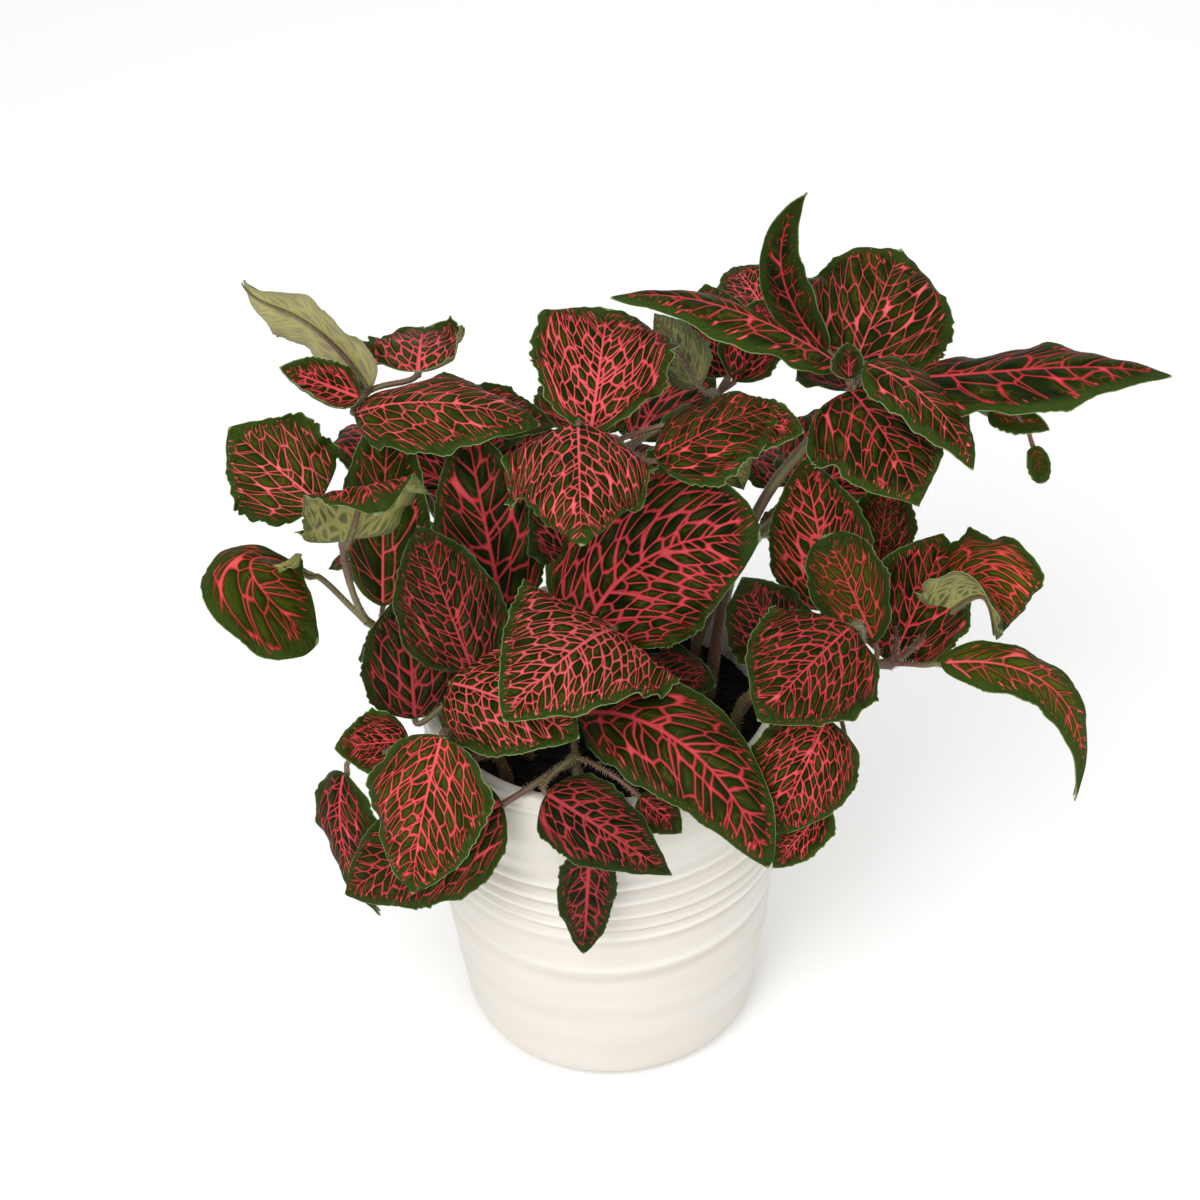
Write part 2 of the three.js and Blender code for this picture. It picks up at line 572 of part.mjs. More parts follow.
/** The stalk of a leaf: it leaves the stem at its nearest place and runs into the midrib. */
function buildStalk(form, stem) {
  const { midrib } = leafFrame(form);
  const base = midrib.getPoint(0);
  const { root, growth } = stalkRoot(base, stem);
  const way = base.clone().sub(root);
  const length = way.length();
  const leaving = way.normalize().addScaledVector(growth, STALK_LEAN).normalize();
  const inBlade = midrib.getTangent(0);
  const first = root.clone().addScaledVector(leaving, length * STALK_PULL_ROOT);
  const second = base.clone().addScaledVector(inBlade, -length * STALK_PULL_BLADE);
  const path = new THREE.CurvePath();
  path.add(new THREE.CubicBezierCurve3(root, first, second, base));
  path.add(new THREE.LineCurve3(base, midrib.getPoint(STALK_IN_BLADE / midrib.getLength())));
  return rod(path, STALK_RADIUS, STALK_SIDES, STALK_STEPS);
}

/** A smooth path through a stem's points. */
function stemPath(points) {
  return new THREE.CatmullRomCurve3(points, false, 'catmullrom', SOFT_BEND);
}

/** One leafy shoot: the stem, its stalks and its blades fused into a single body. */
function buildShoot(stem, leaves) {
  const foot = stem.path.getPoint(0);
  const rootEnd = foot.clone().addScaledVector(stem.path.getTangent(0), -STEM_ROOT_DEPTH);
  const way = stemPath([rootEnd, ...stem.points]);
  let body = rod(way, stem.radius, STEM_SIDES, STEPS_PER_SPAN * stem.points.length);
  for (const form of leaves) {
    body = body.add(buildStalk(form, stem)).add(buildBlade(form));
  }
  return body;
}

const plant = new THREE.Group();
const stems = SHOOTS.map(({ stem }) => {
  const points = stem.points.map(point);
  return { radius: stem.radius, points, path: stemPath(points) };
});
plant.add(piece('pot', buildPot(), POT_COLOUR, POT_ROUGHNESS));
plant.add(piece('soil', buildSoil(stems), SOIL_COLOUR, SOIL_ROUGHNESS));
SHOOTS.forEach(({ name, leaves }, i) => {
  plant.add(piece(name, buildShoot(stems[i], leaves), LEAF_COLOUR, LEAF_ROUGHNESS));
});

export default plant;
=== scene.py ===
"""Potted nerve plant: a ringed ceramic pot, its soil, and leafy shoots with pink-veined leaves.

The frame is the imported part's: +Z up, the photographed side towards -Y, the origin at the middle
of the pot's flat underside. Blender's lengths are metres; the plant's own sizes are millimetres
and become metres where a mesh or a curve is written.
"""

from __future__ import annotations

import logging
import math
from collections.abc import Callable
from dataclasses import dataclass
from enum import Enum

import bpy
import numpy as np
from mathutils import Matrix, Vector, noise


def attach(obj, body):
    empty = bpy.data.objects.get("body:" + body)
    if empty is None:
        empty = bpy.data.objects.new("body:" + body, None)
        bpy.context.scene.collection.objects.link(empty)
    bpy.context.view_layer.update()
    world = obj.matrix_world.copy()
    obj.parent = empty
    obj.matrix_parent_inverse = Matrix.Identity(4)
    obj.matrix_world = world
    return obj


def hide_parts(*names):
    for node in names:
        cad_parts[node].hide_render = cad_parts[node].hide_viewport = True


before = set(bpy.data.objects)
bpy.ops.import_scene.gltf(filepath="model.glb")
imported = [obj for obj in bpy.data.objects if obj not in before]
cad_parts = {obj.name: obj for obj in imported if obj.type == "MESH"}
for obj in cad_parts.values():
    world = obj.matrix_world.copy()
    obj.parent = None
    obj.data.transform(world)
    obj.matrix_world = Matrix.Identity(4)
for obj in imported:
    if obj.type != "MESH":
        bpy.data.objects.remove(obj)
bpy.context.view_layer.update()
MM = 0.001
BODY = "root"
LOG = logging.getLogger("potted_plant")

Point = tuple[float, float, float]
Pair = tuple[float, float]
Rgb = tuple[float, float, float]
Array = np.ndarray
Mesh = bpy.types.Mesh
Piece = bpy.types.Object
Material = bpy.types.Material
Socket = bpy.types.NodeSocket


def linear(red: int, green: int, blue: int) -> Rgb:
    """A colour given as it shows on screen, 0 to 255 each, as the light that a shader works in."""
    shares = (value / 255 for value in (red, green, blue))
    return tuple(s / 12.92 if s <= 0.04045 else ((s + 0.055) / 1.055) ** 2.4 for s in shares)


def smooth(value: Array, low: float, high: float) -> Array:
    """Rises softly from 0 at low to 1 at high."""
    share = np.clip((value - low) / (high - low), 0.0, 1.0)
    return share * share * (3.0 - 2.0 * share)


def unit(vectors: Array) -> Array:
    """Vectors in the last axis at length one."""
    return vectors / np.maximum(np.linalg.norm(vectors, axis=-1, keepdims=True), 1e-9)


# ---------------------------------------------------------------------------- shader sums


def operator(operation: str, swapped: bool = False) -> Callable[..., Wire]:
    """Makes an operator of a wire.

    Args:
        operation: The operation of the Math node that it adds.
        swapped: Whether the wire comes after the other value.

    Returns:
        The operator, as a method.
    """

    def work(wire: Wire, *others: Wire | float) -> Wire:
        """Adds the node for this wire and the other values."""
        values = (*others, wire) if swapped else (wire, *others)
        return wire.math(operation, *values)

    return work


class Wire:
    """A value in a material: each operator on it adds the Math node that works it out."""

    __add__ = operator("ADD")
    __radd__ = operator("ADD", swapped=True)
    __sub__ = operator("SUBTRACT")
    __rsub__ = operator("SUBTRACT", swapped=True)
    __mul__ = operator("MULTIPLY")
    __rmul__ = operator("MULTIPLY", swapped=True)
    __truediv__ = operator("DIVIDE")
    __abs__ = operator("ABSOLUTE")
    # 1 where this value is over another, and 0 elsewhere.
    above = operator("GREATER_THAN")
    # The smaller and the larger of this value and another.
    least = operator("MINIMUM")
    most = operator("MAXIMUM")
    # The same with a fillet where the two meet, whose size is the last value.
    soft_least = operator("SMOOTH_MIN")
    soft_most = operator("SMOOTH_MAX")

    def __init__(self, palette: Palette, socket: Socket) -> None:
        """Holds a node's output socket and the palette that it belongs to."""
        self.palette = palette
        self.socket = socket

    def math(self, operation: str, *values: Wire | float) -> Wire:
        """Adds one Math node.

        Args:
            operation: The node's operation.
            *values: Its inputs in order, each a wire or a number.

        Returns:
            The node's output.
        """
        node = self.palette.node("ShaderNodeMath", {"operation": operation}, dict(enumerate(values)))
        return Wire(self.palette, node.outputs[0])

    def from_line(self, share: float = 0.5) -> Wire:
        """Distance to the nearest of the lines that lie one unit apart, at a share of each unit."""
        return abs(self.math("FRACT", self + (0.5 - share)) - 0.5)

    def least(self, other: Wire | float) -> Wire:
        """The smaller of this value and another."""
        return self.math("MINIMUM", self, other)

    def most(self, other: Wire | float) -> Wire:
        """The larger of this value and another."""
        return self.math("MAXIMUM", self, other)

    def soft_most(self, other: Wire | float, softness: float) -> Wire:
        """The larger of two values, with a fillet of the given size where they meet."""
        return self.math("SMOOTH_MAX", self, other, softness)

    def soft_least(self, other: Wire | float, softness: float) -> Wire:
        """The smaller of two values, with a fillet of the given size where they meet."""
        return self.math("SMOOTH_MIN", self, other, softness)

    def ease(self, low: Wire | float, high: Wire | float) -> Wire:
        """Rises softly from 0 where this value is low to 1 where it is high."""
        node = self.palette.node(
            "ShaderNodeMapRange",
            {"interpolation_type": "SMOOTHSTEP"},
            {"Value": self, "From Min": low, "From Max": high},
        )
        return Wire(self.palette, node.outputs[0])


class Palette:
    """A new material and its nodes."""

    def __init__(self, name: str) -> None:
        """Starts a material of that name with its main shader."""
        self.material = bpy.data.materials.new(name)
        self.material.use_nodes = True
        self.tree = self.material.node_tree
        self.shader = self.tree.nodes["Principled BSDF"]

    def node(self, kind: str, settings: dict | None = None, inputs: dict | None = None) -> bpy.types.Node:
        """Adds a node.

        Args:
            kind: Its type, as Blender names it.
            settings: Its properties, which are set first.
            inputs: Its sockets by name or number, each a wire, a socket, a number or a tuple.

        Returns:
            The new node.
        """
        node = self.tree.nodes.new(kind)
        for key, value in (settings or {}).items():
            setattr(node, key, value)
        for key, value in (inputs or {}).items():
            self.feed(node.inputs[key], value)
        return node

    def feed(self, socket: Socket, value: object) -> None:
        """Links a wire or a socket to an input, or sets the input to a number or a tuple."""
        if isinstance(value, Wire):
            self.tree.links.new(value.socket, socket)
        elif isinstance(value, Socket):
            self.tree.links.new(value, socket)
        elif isinstance(value, tuple) and len(value) == 3 and socket.type == "RGBA":
            socket.default_value = (*value, 1.0)
        else:
            socket.default_value = value

    def split(self, vector: Socket) -> list[Wire]:
        """The three numbers of a vector."""
        node = self.node("ShaderNodeSeparateXYZ", None, {0: vector})
        return [Wire(self, output) for output in node.outputs]

    def parts(self, attribute: str) -> list[Wire]:
        """The three numbers of a vector that is kept on the mesh."""
        source = self.node("ShaderNodeAttribute", {"attribute_name": attribute})
        return self.split(source.outputs["Vector"])

    def join(self, x: Wire | float, y: Wire | float, z: Wire | float = 0.0) -> Socket:
        """A vector of three values."""
        return self.node("ShaderNodeCombineXYZ", None, {0: x, 1: y, 2: z}).outputs[0]

    def place(self, stretch: Point = (1.0, 1.0, 1.0)) -> Socket:
        """A point of the object, stretched along each axis."""
        source = self.node("ShaderNodeTexCoord").outputs["Object"]
        node = self.node("ShaderNodeMapping", None, {"Vector": source, "Scale": stretch})
        return node.outputs[0]

    def clouds(self, where: Socket, scale: float, detail: float = 2.0) -> Wire:
        """Soft random patches between 0 and 1."""
        inputs = {"Vector": where, "Scale": scale, "Detail": detail}
        return Wire(self, self.node("ShaderNodeTexNoise", None, inputs).outputs[0])

    def cells(self, where: Socket, feature: str, uneven: float, scale: float = 1.0) -> Wire:
        """Distances in a net of random cells on a plane.

        Args:
            where: The place in the net, one cell to a unit.
            feature: What is measured: the distance to an edge, or to a cell's middle.
            uneven: How far the cells stray from a regular net, 0 to 1.
            scale: Cells to a unit.

        Returns:
            The distance, in cells.
        """
        node = self.node(
            "ShaderNodeTexVoronoi",
            {"voronoi_dimensions": "2D", "feature": feature},
            {"Vector": where, "Scale": scale, "Randomness": uneven},
        )
        return Wire(self, node.outputs["Distance"])

    def blend(self, first: object, second: object, share: Wire | float) -> Socket:
        """A colour that goes from the first to the second as the share goes from 0 to 1."""
        node = self.node("ShaderNodeMix", {"data_type": "RGBA"})
        sockets = {socket.identifier: socket for socket in node.inputs}
        self.feed(sockets["Factor_Float"], share)
        self.feed(sockets["A_Color"], first)
        self.feed(sockets["B_Color"], second)
        return next(s for s in node.outputs if s.identifier == "Result_Color")

    def relief(self, height: Wire, depth_mm: float, under: Socket | None = None) -> Socket:
        """A normal for fine relief.

        Args:
            height: Its height at each place, 0 to 1.
            depth_mm: Millimetres from its lowest to its highest place.
            under: Another normal that it is laid over.

        Returns:
            The normal.
        """
        inputs = {"Height": height, "Distance": depth_mm * MM, "Strength": 1.0}
        if under is not None:
            inputs["Normal"] = under
        return self.node("ShaderNodeBump", None, inputs).outputs[0]

    def finish(self, colour: object, roughness: Wire | float, **constants: float) -> Material:
        """Feeds the main shader.

        Args:
            colour: Its base colour.
            roughness: Its roughness.
            **constants: Other sockets, with an underscore for each space in their names.

        Returns:
            The material.
        """
        self.feed(self.shader.inputs["Base Color"], colour)
        self.feed(self.shader.inputs["Roughness"], roughness)
        for key, value in constants.items():
            self.feed(self.shader.inputs[key.replace("_", " ")], value)
        return self.material


# ---------------------------------------------------------------------------- finishes


class Side(Enum):
    """The two faces of a leaf."""

    UPPER = "leaf_upper_face"
    UNDER = "leaf_under_face"


@dataclass(frozen=True)
class VeinSizes:
    """The form of a leaf's vein net, in distances between side veins where no unit is given."""

    drift_scale: Pair = (0.9, 1.1)
    wobble_scale: Pair = (3.1, 3.4)
    patch_scale: Pair = (1.5, 1.7)
    spike_scale: Pair = (11.0, 0.32)
    cells_per_vein: float = 1.85
    cell_reach: float = 1.3
    cell_length: float = 0.56
    cell_share: float = 0.43
    unevenness: float = 0.78
    corner_share: float = 0.78
    corner_softness: float = 0.08
    right_offset: float = 0.37
    right_cells: float = 7.3
    drift: float = 0.25
    wobble: float = 0.10
    cell_wobble: float = 0.12
    side_line: float = 0.9
    side_slope: float = 0.8
    side_width: Pair = (0.25, 0.85)
    side_full_mm: float = 18.0
    net_width: Pair = (0.2, 0.4)
    net_patches: float = 0.4
    net_full_mm: float = 12.0
    midrib_width: Pair = (1.9, 1.5)
    fillet: float = 0.03
    wide_fillet: float = 0.05
    margin_mm: float = 3.4
    margin_rise: float = 0.5
    ragged_mm: float = 3.0
    streak_depth: float = 0.42
    streak_width: float = 0.7
    streak_base: float = 0.08
    streak_inside_mm: float = 1.5
    streak_outside_mm: float = 1.7
    veinlets_per_cell: float = 2.3


class VeinNet:
    """The veins of one face of the leaves, worked out from the vectors that each mesh keeps.

    "net" holds a point's distance from the midrib, how many side veins lie between it and the
    leaf's base, and its distance to the edge. "look" holds the width of the veins, the distance
    between side veins, and how far along the leaf the point lies. "hue" holds how coral the leaf
    is, how much painted shade darkens it (below 0 it is paler instead), and a number of its own.
    A depth is how far inside a vein a point lies, and is below 0 outside.
    """

    def __init__(self, p: Palette, sizes: VeinSizes) -> None:
        """Reads the vectors and lets the lines of the net drift a little."""
        self.palette = p
        self.sizes = sizes
        across, along, self.rim = p.parts("net")
        self.width, self.spacing, self.share = p.parts("look")
        # How coral the leaf is, how much painted shade darkens it, and its own number.
        self.coral, self.dark, self.own = p.parts("hue")
        self.far = abs(across) / self.spacing
        self.right = across.above(0.0)
        self.along = along + self.right * sizes.right_offset
        self.drift = self.patches(sizes.drift_scale, self.own) - 0.5
        wobble = self.patches(sizes.wobble_scale, self.own) - 0.5
        self.line = self.along + self.drift * sizes.drift + wobble * sizes.wobble
        rows = self.line * sizes.cells_per_vein + self.own
        reach = self.far * sizes.cell_reach + self.drift * sizes.drift + wobble * sizes.cell_wobble
        self.where = p.join(rows, reach / sizes.cell_length + self.right * sizes.right_cells)
        self.patch = self.patches(sizes.patch_scale, self.own * 3.0)

    def clouds(self, x: Wire, y: Wire) -> Wire:
        """Soft patches over the leaf's own plane, others on each half and on each leaf."""
        return self.palette.clouds(self.palette.join(x, y, self.right + self.own), 1.0, 1.0)

    def patches(self, scale: Pair, shift: Wire) -> Wire:
        """Soft patches, scaled in side veins along and across and moved along by a shift."""
        return self.clouds(self.along * scale[0] + shift, self.far * scale[1])

    def cell_lines(self) -> Wire:
        """Depth in the net of fine veins round the cells, wider towards the middle of the leaf."""
        p, sizes = self.palette, self.sizes
        edge = p.cells(self.where, "DISTANCE_TO_EDGE", sizes.unevenness) * sizes.cell_share
        middle = p.cells(self.where, "F1", sizes.unevenness) * sizes.cell_share
        rounded = edge.soft_least(sizes.cell_share * sizes.corner_share - middle, sizes.corner_softness)
        inner = (self.rim / sizes.net_full_mm).least(1.0)
        least, growth = sizes.net_width
        share = self.patch.ease(0.25, 0.75) * sizes.net_patches + inner * growth + least
        return self.width * share - rounded

    def side_veins(self) -> Wire:
        """Depth in the side veins, which taper towards the leaf's edge."""
        sizes = self.sizes
        least, growth = sizes.side_width
        taper = (self.rim / sizes.side_full_mm).least(1.0) * growth + least
        return self.width * taper - self.line.from_line(sizes.side_line) * sizes.side_slope

    def midrib(self) -> Wire:
        """Depth in the midrib, which tapers towards the tip."""
        most, loss = self.sizes.midrib_width
        return self.width * (most - loss * self.share) - self.far

    def depth(self) -> Wire:
        """Depth in any vein, with the ragged ends that the veins have along the leaf's margin."""
        sizes = self.sizes
        veins = self.side_veins().soft_most(self.cell_lines(), sizes.fillet)
        veins = veins.soft_most(self.midrib(), sizes.wide_fillet)
        along, inwards = sizes.spike_scale
        spikes = self.clouds(self.line * along + self.own, self.rim * inwards) - 0.5
        inside = self.rim - sizes.margin_mm
        ragged = inside + (spikes * sizes.ragged_mm + self.drift * sizes.ragged_mm)
        veins = veins.soft_least(ragged / self.spacing * sizes.margin_rise, sizes.wide_fillet)
        streaks = spikes * sizes.streak_depth + self.width * sizes.streak_width - sizes.streak_base
        ring = (sizes.margin_mm + sizes.streak_inside_mm - self.rim) / self.spacing
        outer = (inside + sizes.streak_outside_mm + self.drift * sizes.ragged_mm) / self.spacing
        streaks = streaks.soft_least(ring, sizes.fillet).soft_least(outer, sizes.fillet)
        return veins.soft_most(streaks, sizes.fillet)

    def veinlets(self) -> Wire:
        """A mask of the finest veinlets inside some of the cells."""
        small = self.palette.cells(self.where, "DISTANCE_TO_EDGE", 1.0, self.sizes.veinlets_per_cell)
        return (1.0 - small.ease(0.02, 0.09)) * self.patch.ease(0.4, 0.75) * self.rim.ease(2.0, 5.0)


@dataclass(frozen=True)
class LeafFinish:
    """A nerve plant's leaf: a net of coloured veins with rounded green cells between them."""

    cell: Rgb = linear(41, 57, 8)
    # The deep green of some cells, also used as painted shade next to the sunk veins.
    cell_deep_and_crease_shade: Rgb = linear(14, 24, 1)
    cell_bright: Rgb = linear(80, 91, 14)
    margin: Rgb = linear(46, 63, 18)
    edge_line: Rgb = linear(120, 135, 88)
    vein: Rgb = linear(204, 68, 76)
    vein_pale: Rgb = linear(226, 110, 112)
    vein_coral: Rgb = linear(214, 84, 70)
    vein_border: Rgb = linear(124, 22, 20)
    veinlet: Rgb = linear(140, 70, 40)
    # The near-black that painted shade blends the shaded leaves towards.
    dark: Rgb = linear(14, 14, 10)
    under: Rgb = linear(94, 102, 44)
    under_deep: Rgb = linear(62, 72, 24)
    under_vein: Rgb = linear(158, 152, 86)
    under_pale: Rgb = linear(140, 130, 98)
    blur: float = 0.016
    vein_relief_mm: float = 0.5
    rib_relief_mm: float = 0.3
    grain_mm: Pair = (0.03, 0.05)
    grain_scale: float = 900.0
    blotch_scale: float = 60.0
    roughness: float = 0.42
    roughness_spread: float = 0.10
    under_roughness: float = 0.62
    specular: float = 0.04

    def build(self, face: Side) -> Material:
        """Makes the material of one face of the leaves."""
        p = Palette(face.value)
        net = VeinNet(p, VeinSizes())
        grain = p.clouds(p.place(), self.grain_scale)
        blotch = p.clouds(p.place(), self.blotch_scale)
        if face is Side.UNDER:
            return self.under_face(p, net, grain, blotch)
        return self.upper_face(p, net, grain, blotch)

    def under_face(self, p: Palette, net: VeinNet, grain: Wire, blotch: Wire) -> Material:
        """The pale green underside, with its veins raised."""
        veins = net.depth()
        ground = p.blend(self.under_deep, self.under, blotch.ease(0.3, 0.7))
        ground = p.blend(ground, self.under_pale, (net.dark * -1.0).most(0.0))
        colour = p.blend(ground, self.under_vein, veins.ease(-0.10, 0.03) * 0.75)
        # Painted shade: leaves whose dark value is above 0 are blended towards near-black.
        colour = p.blend(colour, self.dark, net.dark.most(0.0))
        normal = p.relief(veins.ease(-0.14, 0.04), self.rib_relief_mm)
        normal = p.relief(grain, self.grain_mm[1], normal)
        return p.finish(colour, self.under_roughness, Normal=normal)

    def upper_face(self, p: Palette, net: VeinNet, grain: Wire, blotch: Wire) -> Material:
        """The dark green upper side, with its veins sunk and coloured."""
        veins, coral, dark = net.depth(), net.coral, net.dark
        pale = (dark * -1.0).most(0.0)
        mask = veins.ease(-self.blur, self.blur)
        leafy = p.blend(self.cell_deep_and_crease_shade, self.cell, net.patch.ease(0.3, 0.7))
        leafy = p.blend(leafy, self.cell_bright, coral * 0.75 + pale * 0.15)
        # Painted shade: the cells darken next to the sunk veins, in the creases of their quilting.
        leafy = p.blend(leafy, self.cell_deep_and_crease_shade, veins.ease(-0.12, -0.02) * 0.55)
        leafy = p.blend(leafy, self.veinlet, net.veinlets() * 0.5)
        leafy = p.blend(leafy, self.margin, 1.0 - net.rim.ease(1.5, 5.0))
        leafy = p.blend(leafy, self.edge_line, 1.0 - net.rim.ease(0.10, 0.4))
        pink = p.blend(self.vein, self.vein_coral, coral)
        pink = p.blend(pink, self.vein_pale, pale * 0.85)
        pink = p.blend(pink, self.vein_pale, veins.ease(0.02, 0.11) * 0.55 * blotch.ease(0.2, 0.8))
        pink = p.blend(self.vein_border, pink, veins.ease(-0.02, 0.05))
        colour = p.blend(leafy, pink, mask)
        # Painted shade: leaves whose dark value is above 0 are blended towards near-black.
        colour = p.blend(colour, self.dark, dark.most(0.0))
        normal = p.relief(1.0 - veins.ease(-0.13, 0.03), self.vein_relief_mm)
        normal = p.relief(grain, self.grain_mm[0], normal)
        spread = self.roughness_spread
        roughness = self.roughness + mask * spread + (blotch - 0.5) * spread
        return p.finish(colour, roughness, Normal=normal, Specular_IOR_Level=self.specular)


@dataclass(frozen=True)
class StalkFinish:
    """Stems and leaf stalks: pale green to pinkish brown, faintly streaked."""

    # These colours are the stems' own pale green and pinkish brown, painted darker as shade.
    pale: Rgb = linear(96, 90, 52)
    brown: Rgb = linear(88, 56, 42)
    shadow: Rgb = linear(46, 34, 22)
    patch_scale: float = 55.0
    streak_scale: float = 900.0
    streak_stretch: Point = (1.0, 1.0, 0.2)
    streak_mm: float = 0.12
    roughness: float = 0.5

    def build(self) -> Material:
        """Makes the material."""
        p = Palette("stalk")
        patch = p.clouds(p.place(), self.patch_scale)
        streak = p.clouds(p.place(self.streak_stretch), self.streak_scale)
        colour = p.blend(self.pale, self.brown, patch.ease(0.38, 0.62))
        colour = p.blend(colour, self.shadow, streak.ease(0.45, 0.8) * 0.4)
        return p.finish(colour, self.roughness, Normal=p.relief(streak, self.streak_mm))


@dataclass(frozen=True)
class HairFinish:
    """The short pale hairs on stems and stalks."""

    colour: Rgb = linear(196, 188, 172)
    brown: Rgb = linear(150, 122, 100)
    tint_scale: float = 300.0
    roughness: float = 0.6

    def build(self) -> Material:
        """Makes the material."""
        p = Palette("hairs")
        tint = p.clouds(p.place(), self.tint_scale, 1.0)
        colour = p.blend(self.colour, self.brown, tint.ease(0.4, 0.7))
        return p.finish(colour, self.roughness)


@dataclass(frozen=True)
class GlazeFinish:
    """The pot: an off-white satin glaze, with painted shade in the grooves and a painted highlight on the
    throwing rings.

    The mesh keeps a vector named "ring", whose first number is how far the rings stand out there.
    """

    colour: Rgb = linear(203, 198, 190)
    warm: Rgb = linear(198, 191, 179)
    mark: Rgb = linear(166, 156, 138)
    clay: Rgb = linear(222, 206, 182)
    # Painted shade for the grooves and a painted highlight for the crests of the throwing rings.
    groove_shade: Rgb = linear(170, 162, 148)
    crest_highlight: Rgb = linear(220, 216, 208)
    cloud_stretch: Point = (1.0, 1.0, 3.0)
    cloud_scale: float = 18.0
    speck_scale: float = 90.0
    grain_scale: float = 700.0
    grain_mm: float = 0.03
    turning_stretch: Point = (6.0, 6.0, 420.0)
    turning_mm: float = 0.05
    bare_foot: Pair = (0.0003, 0.0012)
    roughness: float = 0.36
    roughness_spread: float = 0.14
    coat: float = 0.12
    coat_roughness: float = 0.3

    def build(self) -> Material:
        """Makes the material."""
        p = Palette("pot_glaze")
        cloud = p.clouds(p.place(self.cloud_stretch), self.cloud_scale, 3.0)
        speck = p.cells(p.place(), "F1", 1.0, self.speck_scale)
        grain = p.clouds(p.place(), self.grain_scale, 3.0)
        turning = p.clouds(p.place(self.turning_stretch), 1.0, 3.0)
        ring = p.parts("ring")[0]
        height = p.split(p.place())[2]
        colour = p.blend(self.colour, self.warm, cloud.ease(0.35, 0.75) * 0.6)
        colour = p.blend(colour, self.mark, (1.0 - speck.ease(0.015, 0.04)) * grain.ease(0.5, 0.6) * 0.3)
        # Painted shade darkens the grooves and a painted highlight lightens the crests of the throwing
        # rings.
        colour = p.blend(colour, self.groove_shade, (ring * -1.0).ease(-0.05, 0.7) * 0.55)
        colour = p.blend(colour, self.crest_highlight, ring.ease(0.25, 1.2) * 0.6)
        colour = p.blend(self.clay, colour, height.ease(*self.bare_foot))
        normal = p.relief(grain, self.grain_mm)
        normal = p.relief(turning, self.turning_mm, normal)
        roughness = self.roughness + cloud * self.roughness_spread
        coat = {"Coat_Weight": self.coat, "Coat_Roughness": self.coat_roughness}
        return p.finish(colour, roughness, Normal=normal, **coat)


@dataclass(frozen=True)
class SoilFinish:
    """Dark, matt potting mix."""

    dark: Rgb = linear(10, 7, 5)
    light: Rgb = linear(38, 28, 20)
    crumb_scale: float = 420.0
    patch_scale: float = 90.0
    crumb_mm: float = 0.8
    roughness: float = 0.9
    specular: float = 0.15

    def build(self) -> Material:
        """Makes the material."""
        p = Palette("potting_mix")
        crumbs = p.clouds(p.place(), self.crumb_scale, 4.0)
        patch = p.clouds(p.place(), self.patch_scale)
        colour = p.blend(self.dark, self.light, crumbs.ease(0.45, 0.75) * patch.ease(0.3, 0.7))
        normal = p.relief(crumbs, self.crumb_mm)
        return p.finish(colour, self.roughness, Normal=normal, Specular_IOR_Level=self.specular)


@dataclass(frozen=True)
class FloorFinish:
    """The plain pale floor."""

    colour: Rgb = (0.97, 0.97, 0.97)
    shade: float = 0.99
    patch_scale: float = 3.0
    roughness: float = 0.8
    specular: float = 0.2

    def build(self) -> Material:
        """Makes the material."""
        p = Palette("studio_floor")
        patch = p.clouds(p.place(), self.patch_scale, 1.0)
        colour = p.blend(self.colour, tuple(self.shade * c for c in self.colour), patch)
        return p.finish(colour, self.roughness, Specular_IOR_Level=self.specular)


# ---------------------------------------------------------------------------- mesh tools


class Workbench:
    """Blender's operators as they are used here: one object at a time, everything else let go."""

    @staticmethod
    def clear() -> None:
        """Lets go of everything that is selected."""
        bpy.ops.object.select_all(action="DESELECT")

    @staticmethod
    def take(name: str) -> Piece:
        """Names the object that was just added, and its data."""
        piece = bpy.context.object
        piece.name = name
        piece.data.name = name
        return piece

    @staticmethod
    def points(mesh: Mesh) -> Array:
        """The mesh's vertices as an array."""
        flat = np.empty(len(mesh.vertices) * 3)
        mesh.vertices.foreach_get("co", flat)
        return flat.reshape(-1, 3)

    @staticmethod
    def place(mesh: Mesh, points: Array) -> None:
        """Moves the mesh's vertices to the points, which are in metres."""
        mesh.vertices.foreach_set("co", points.ravel())
        mesh.update()

    @staticmethod
    def keep(mesh: Mesh, name: str, vectors: Array) -> None:
        """Keeps one vector for each vertex on the mesh, for its material to read."""
        attribute = mesh.attributes.new(name, "FLOAT_VECTOR", "POINT")
        attribute.data.foreach_set("vector", vectors.astype(np.float32).ravel())

    @staticmethod
    def fill(piece: Piece, points: list, faces: list, material: Material) -> None:
        """Gives the piece a new mesh: lists of points in millimetres, and faces over all of them."""
        mesh = piece.data
        mesh.clear_geometry()
        mesh.from_pydata((np.vstack(points) * MM).tolist(), [], faces)
        mesh.materials.append(material)

    @staticmethod
    def tidy(merge: float = 1e-6, outward: bool = False) -> None:
        """Merges doubled vertices of the active object and, if asked, turns its faces outwards."""
        bpy.ops.object.mode_set(mode="EDIT")
        bpy.ops.mesh.select_all(action="SELECT")
        bpy.ops.mesh.remove_doubles(threshold=merge)
        if outward:
            bpy.ops.mesh.normals_make_consistent(inside=False)
        bpy.ops.object.mode_set(mode="OBJECT")

    @staticmethod
    def apply(piece: Piece, kind: str, **settings: object) -> None:
        """Adds a modifier with its settings and applies it."""
        modifier = piece.modifiers.new(kind.lower(), kind)
        for key, value in settings.items():
            setattr(modifier, key, value)
        bpy.ops.object.modifier_apply(modifier=modifier.name)

    @staticmethod
    def settle(piece: Piece, slot: str, nodes: tuple[str, ...]) -> Piece:
        """Makes a finished piece ride on the part, in the place of the nodes it stands for."""
        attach(piece, BODY)
        if nodes:
            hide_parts(*nodes)
        LOG.info("%s: %d faces", piece.name, len(piece.data.polygons))
        return piece


# ---------------------------------------------------------------------------- pot and soil


@dataclass(frozen=True)
class Ring:
    """A throwing ring on the pot's wall, in millimetres."""

    height: float
    relief: float
    width: float
    lean: float = 0.0
    turn: float = 0.0


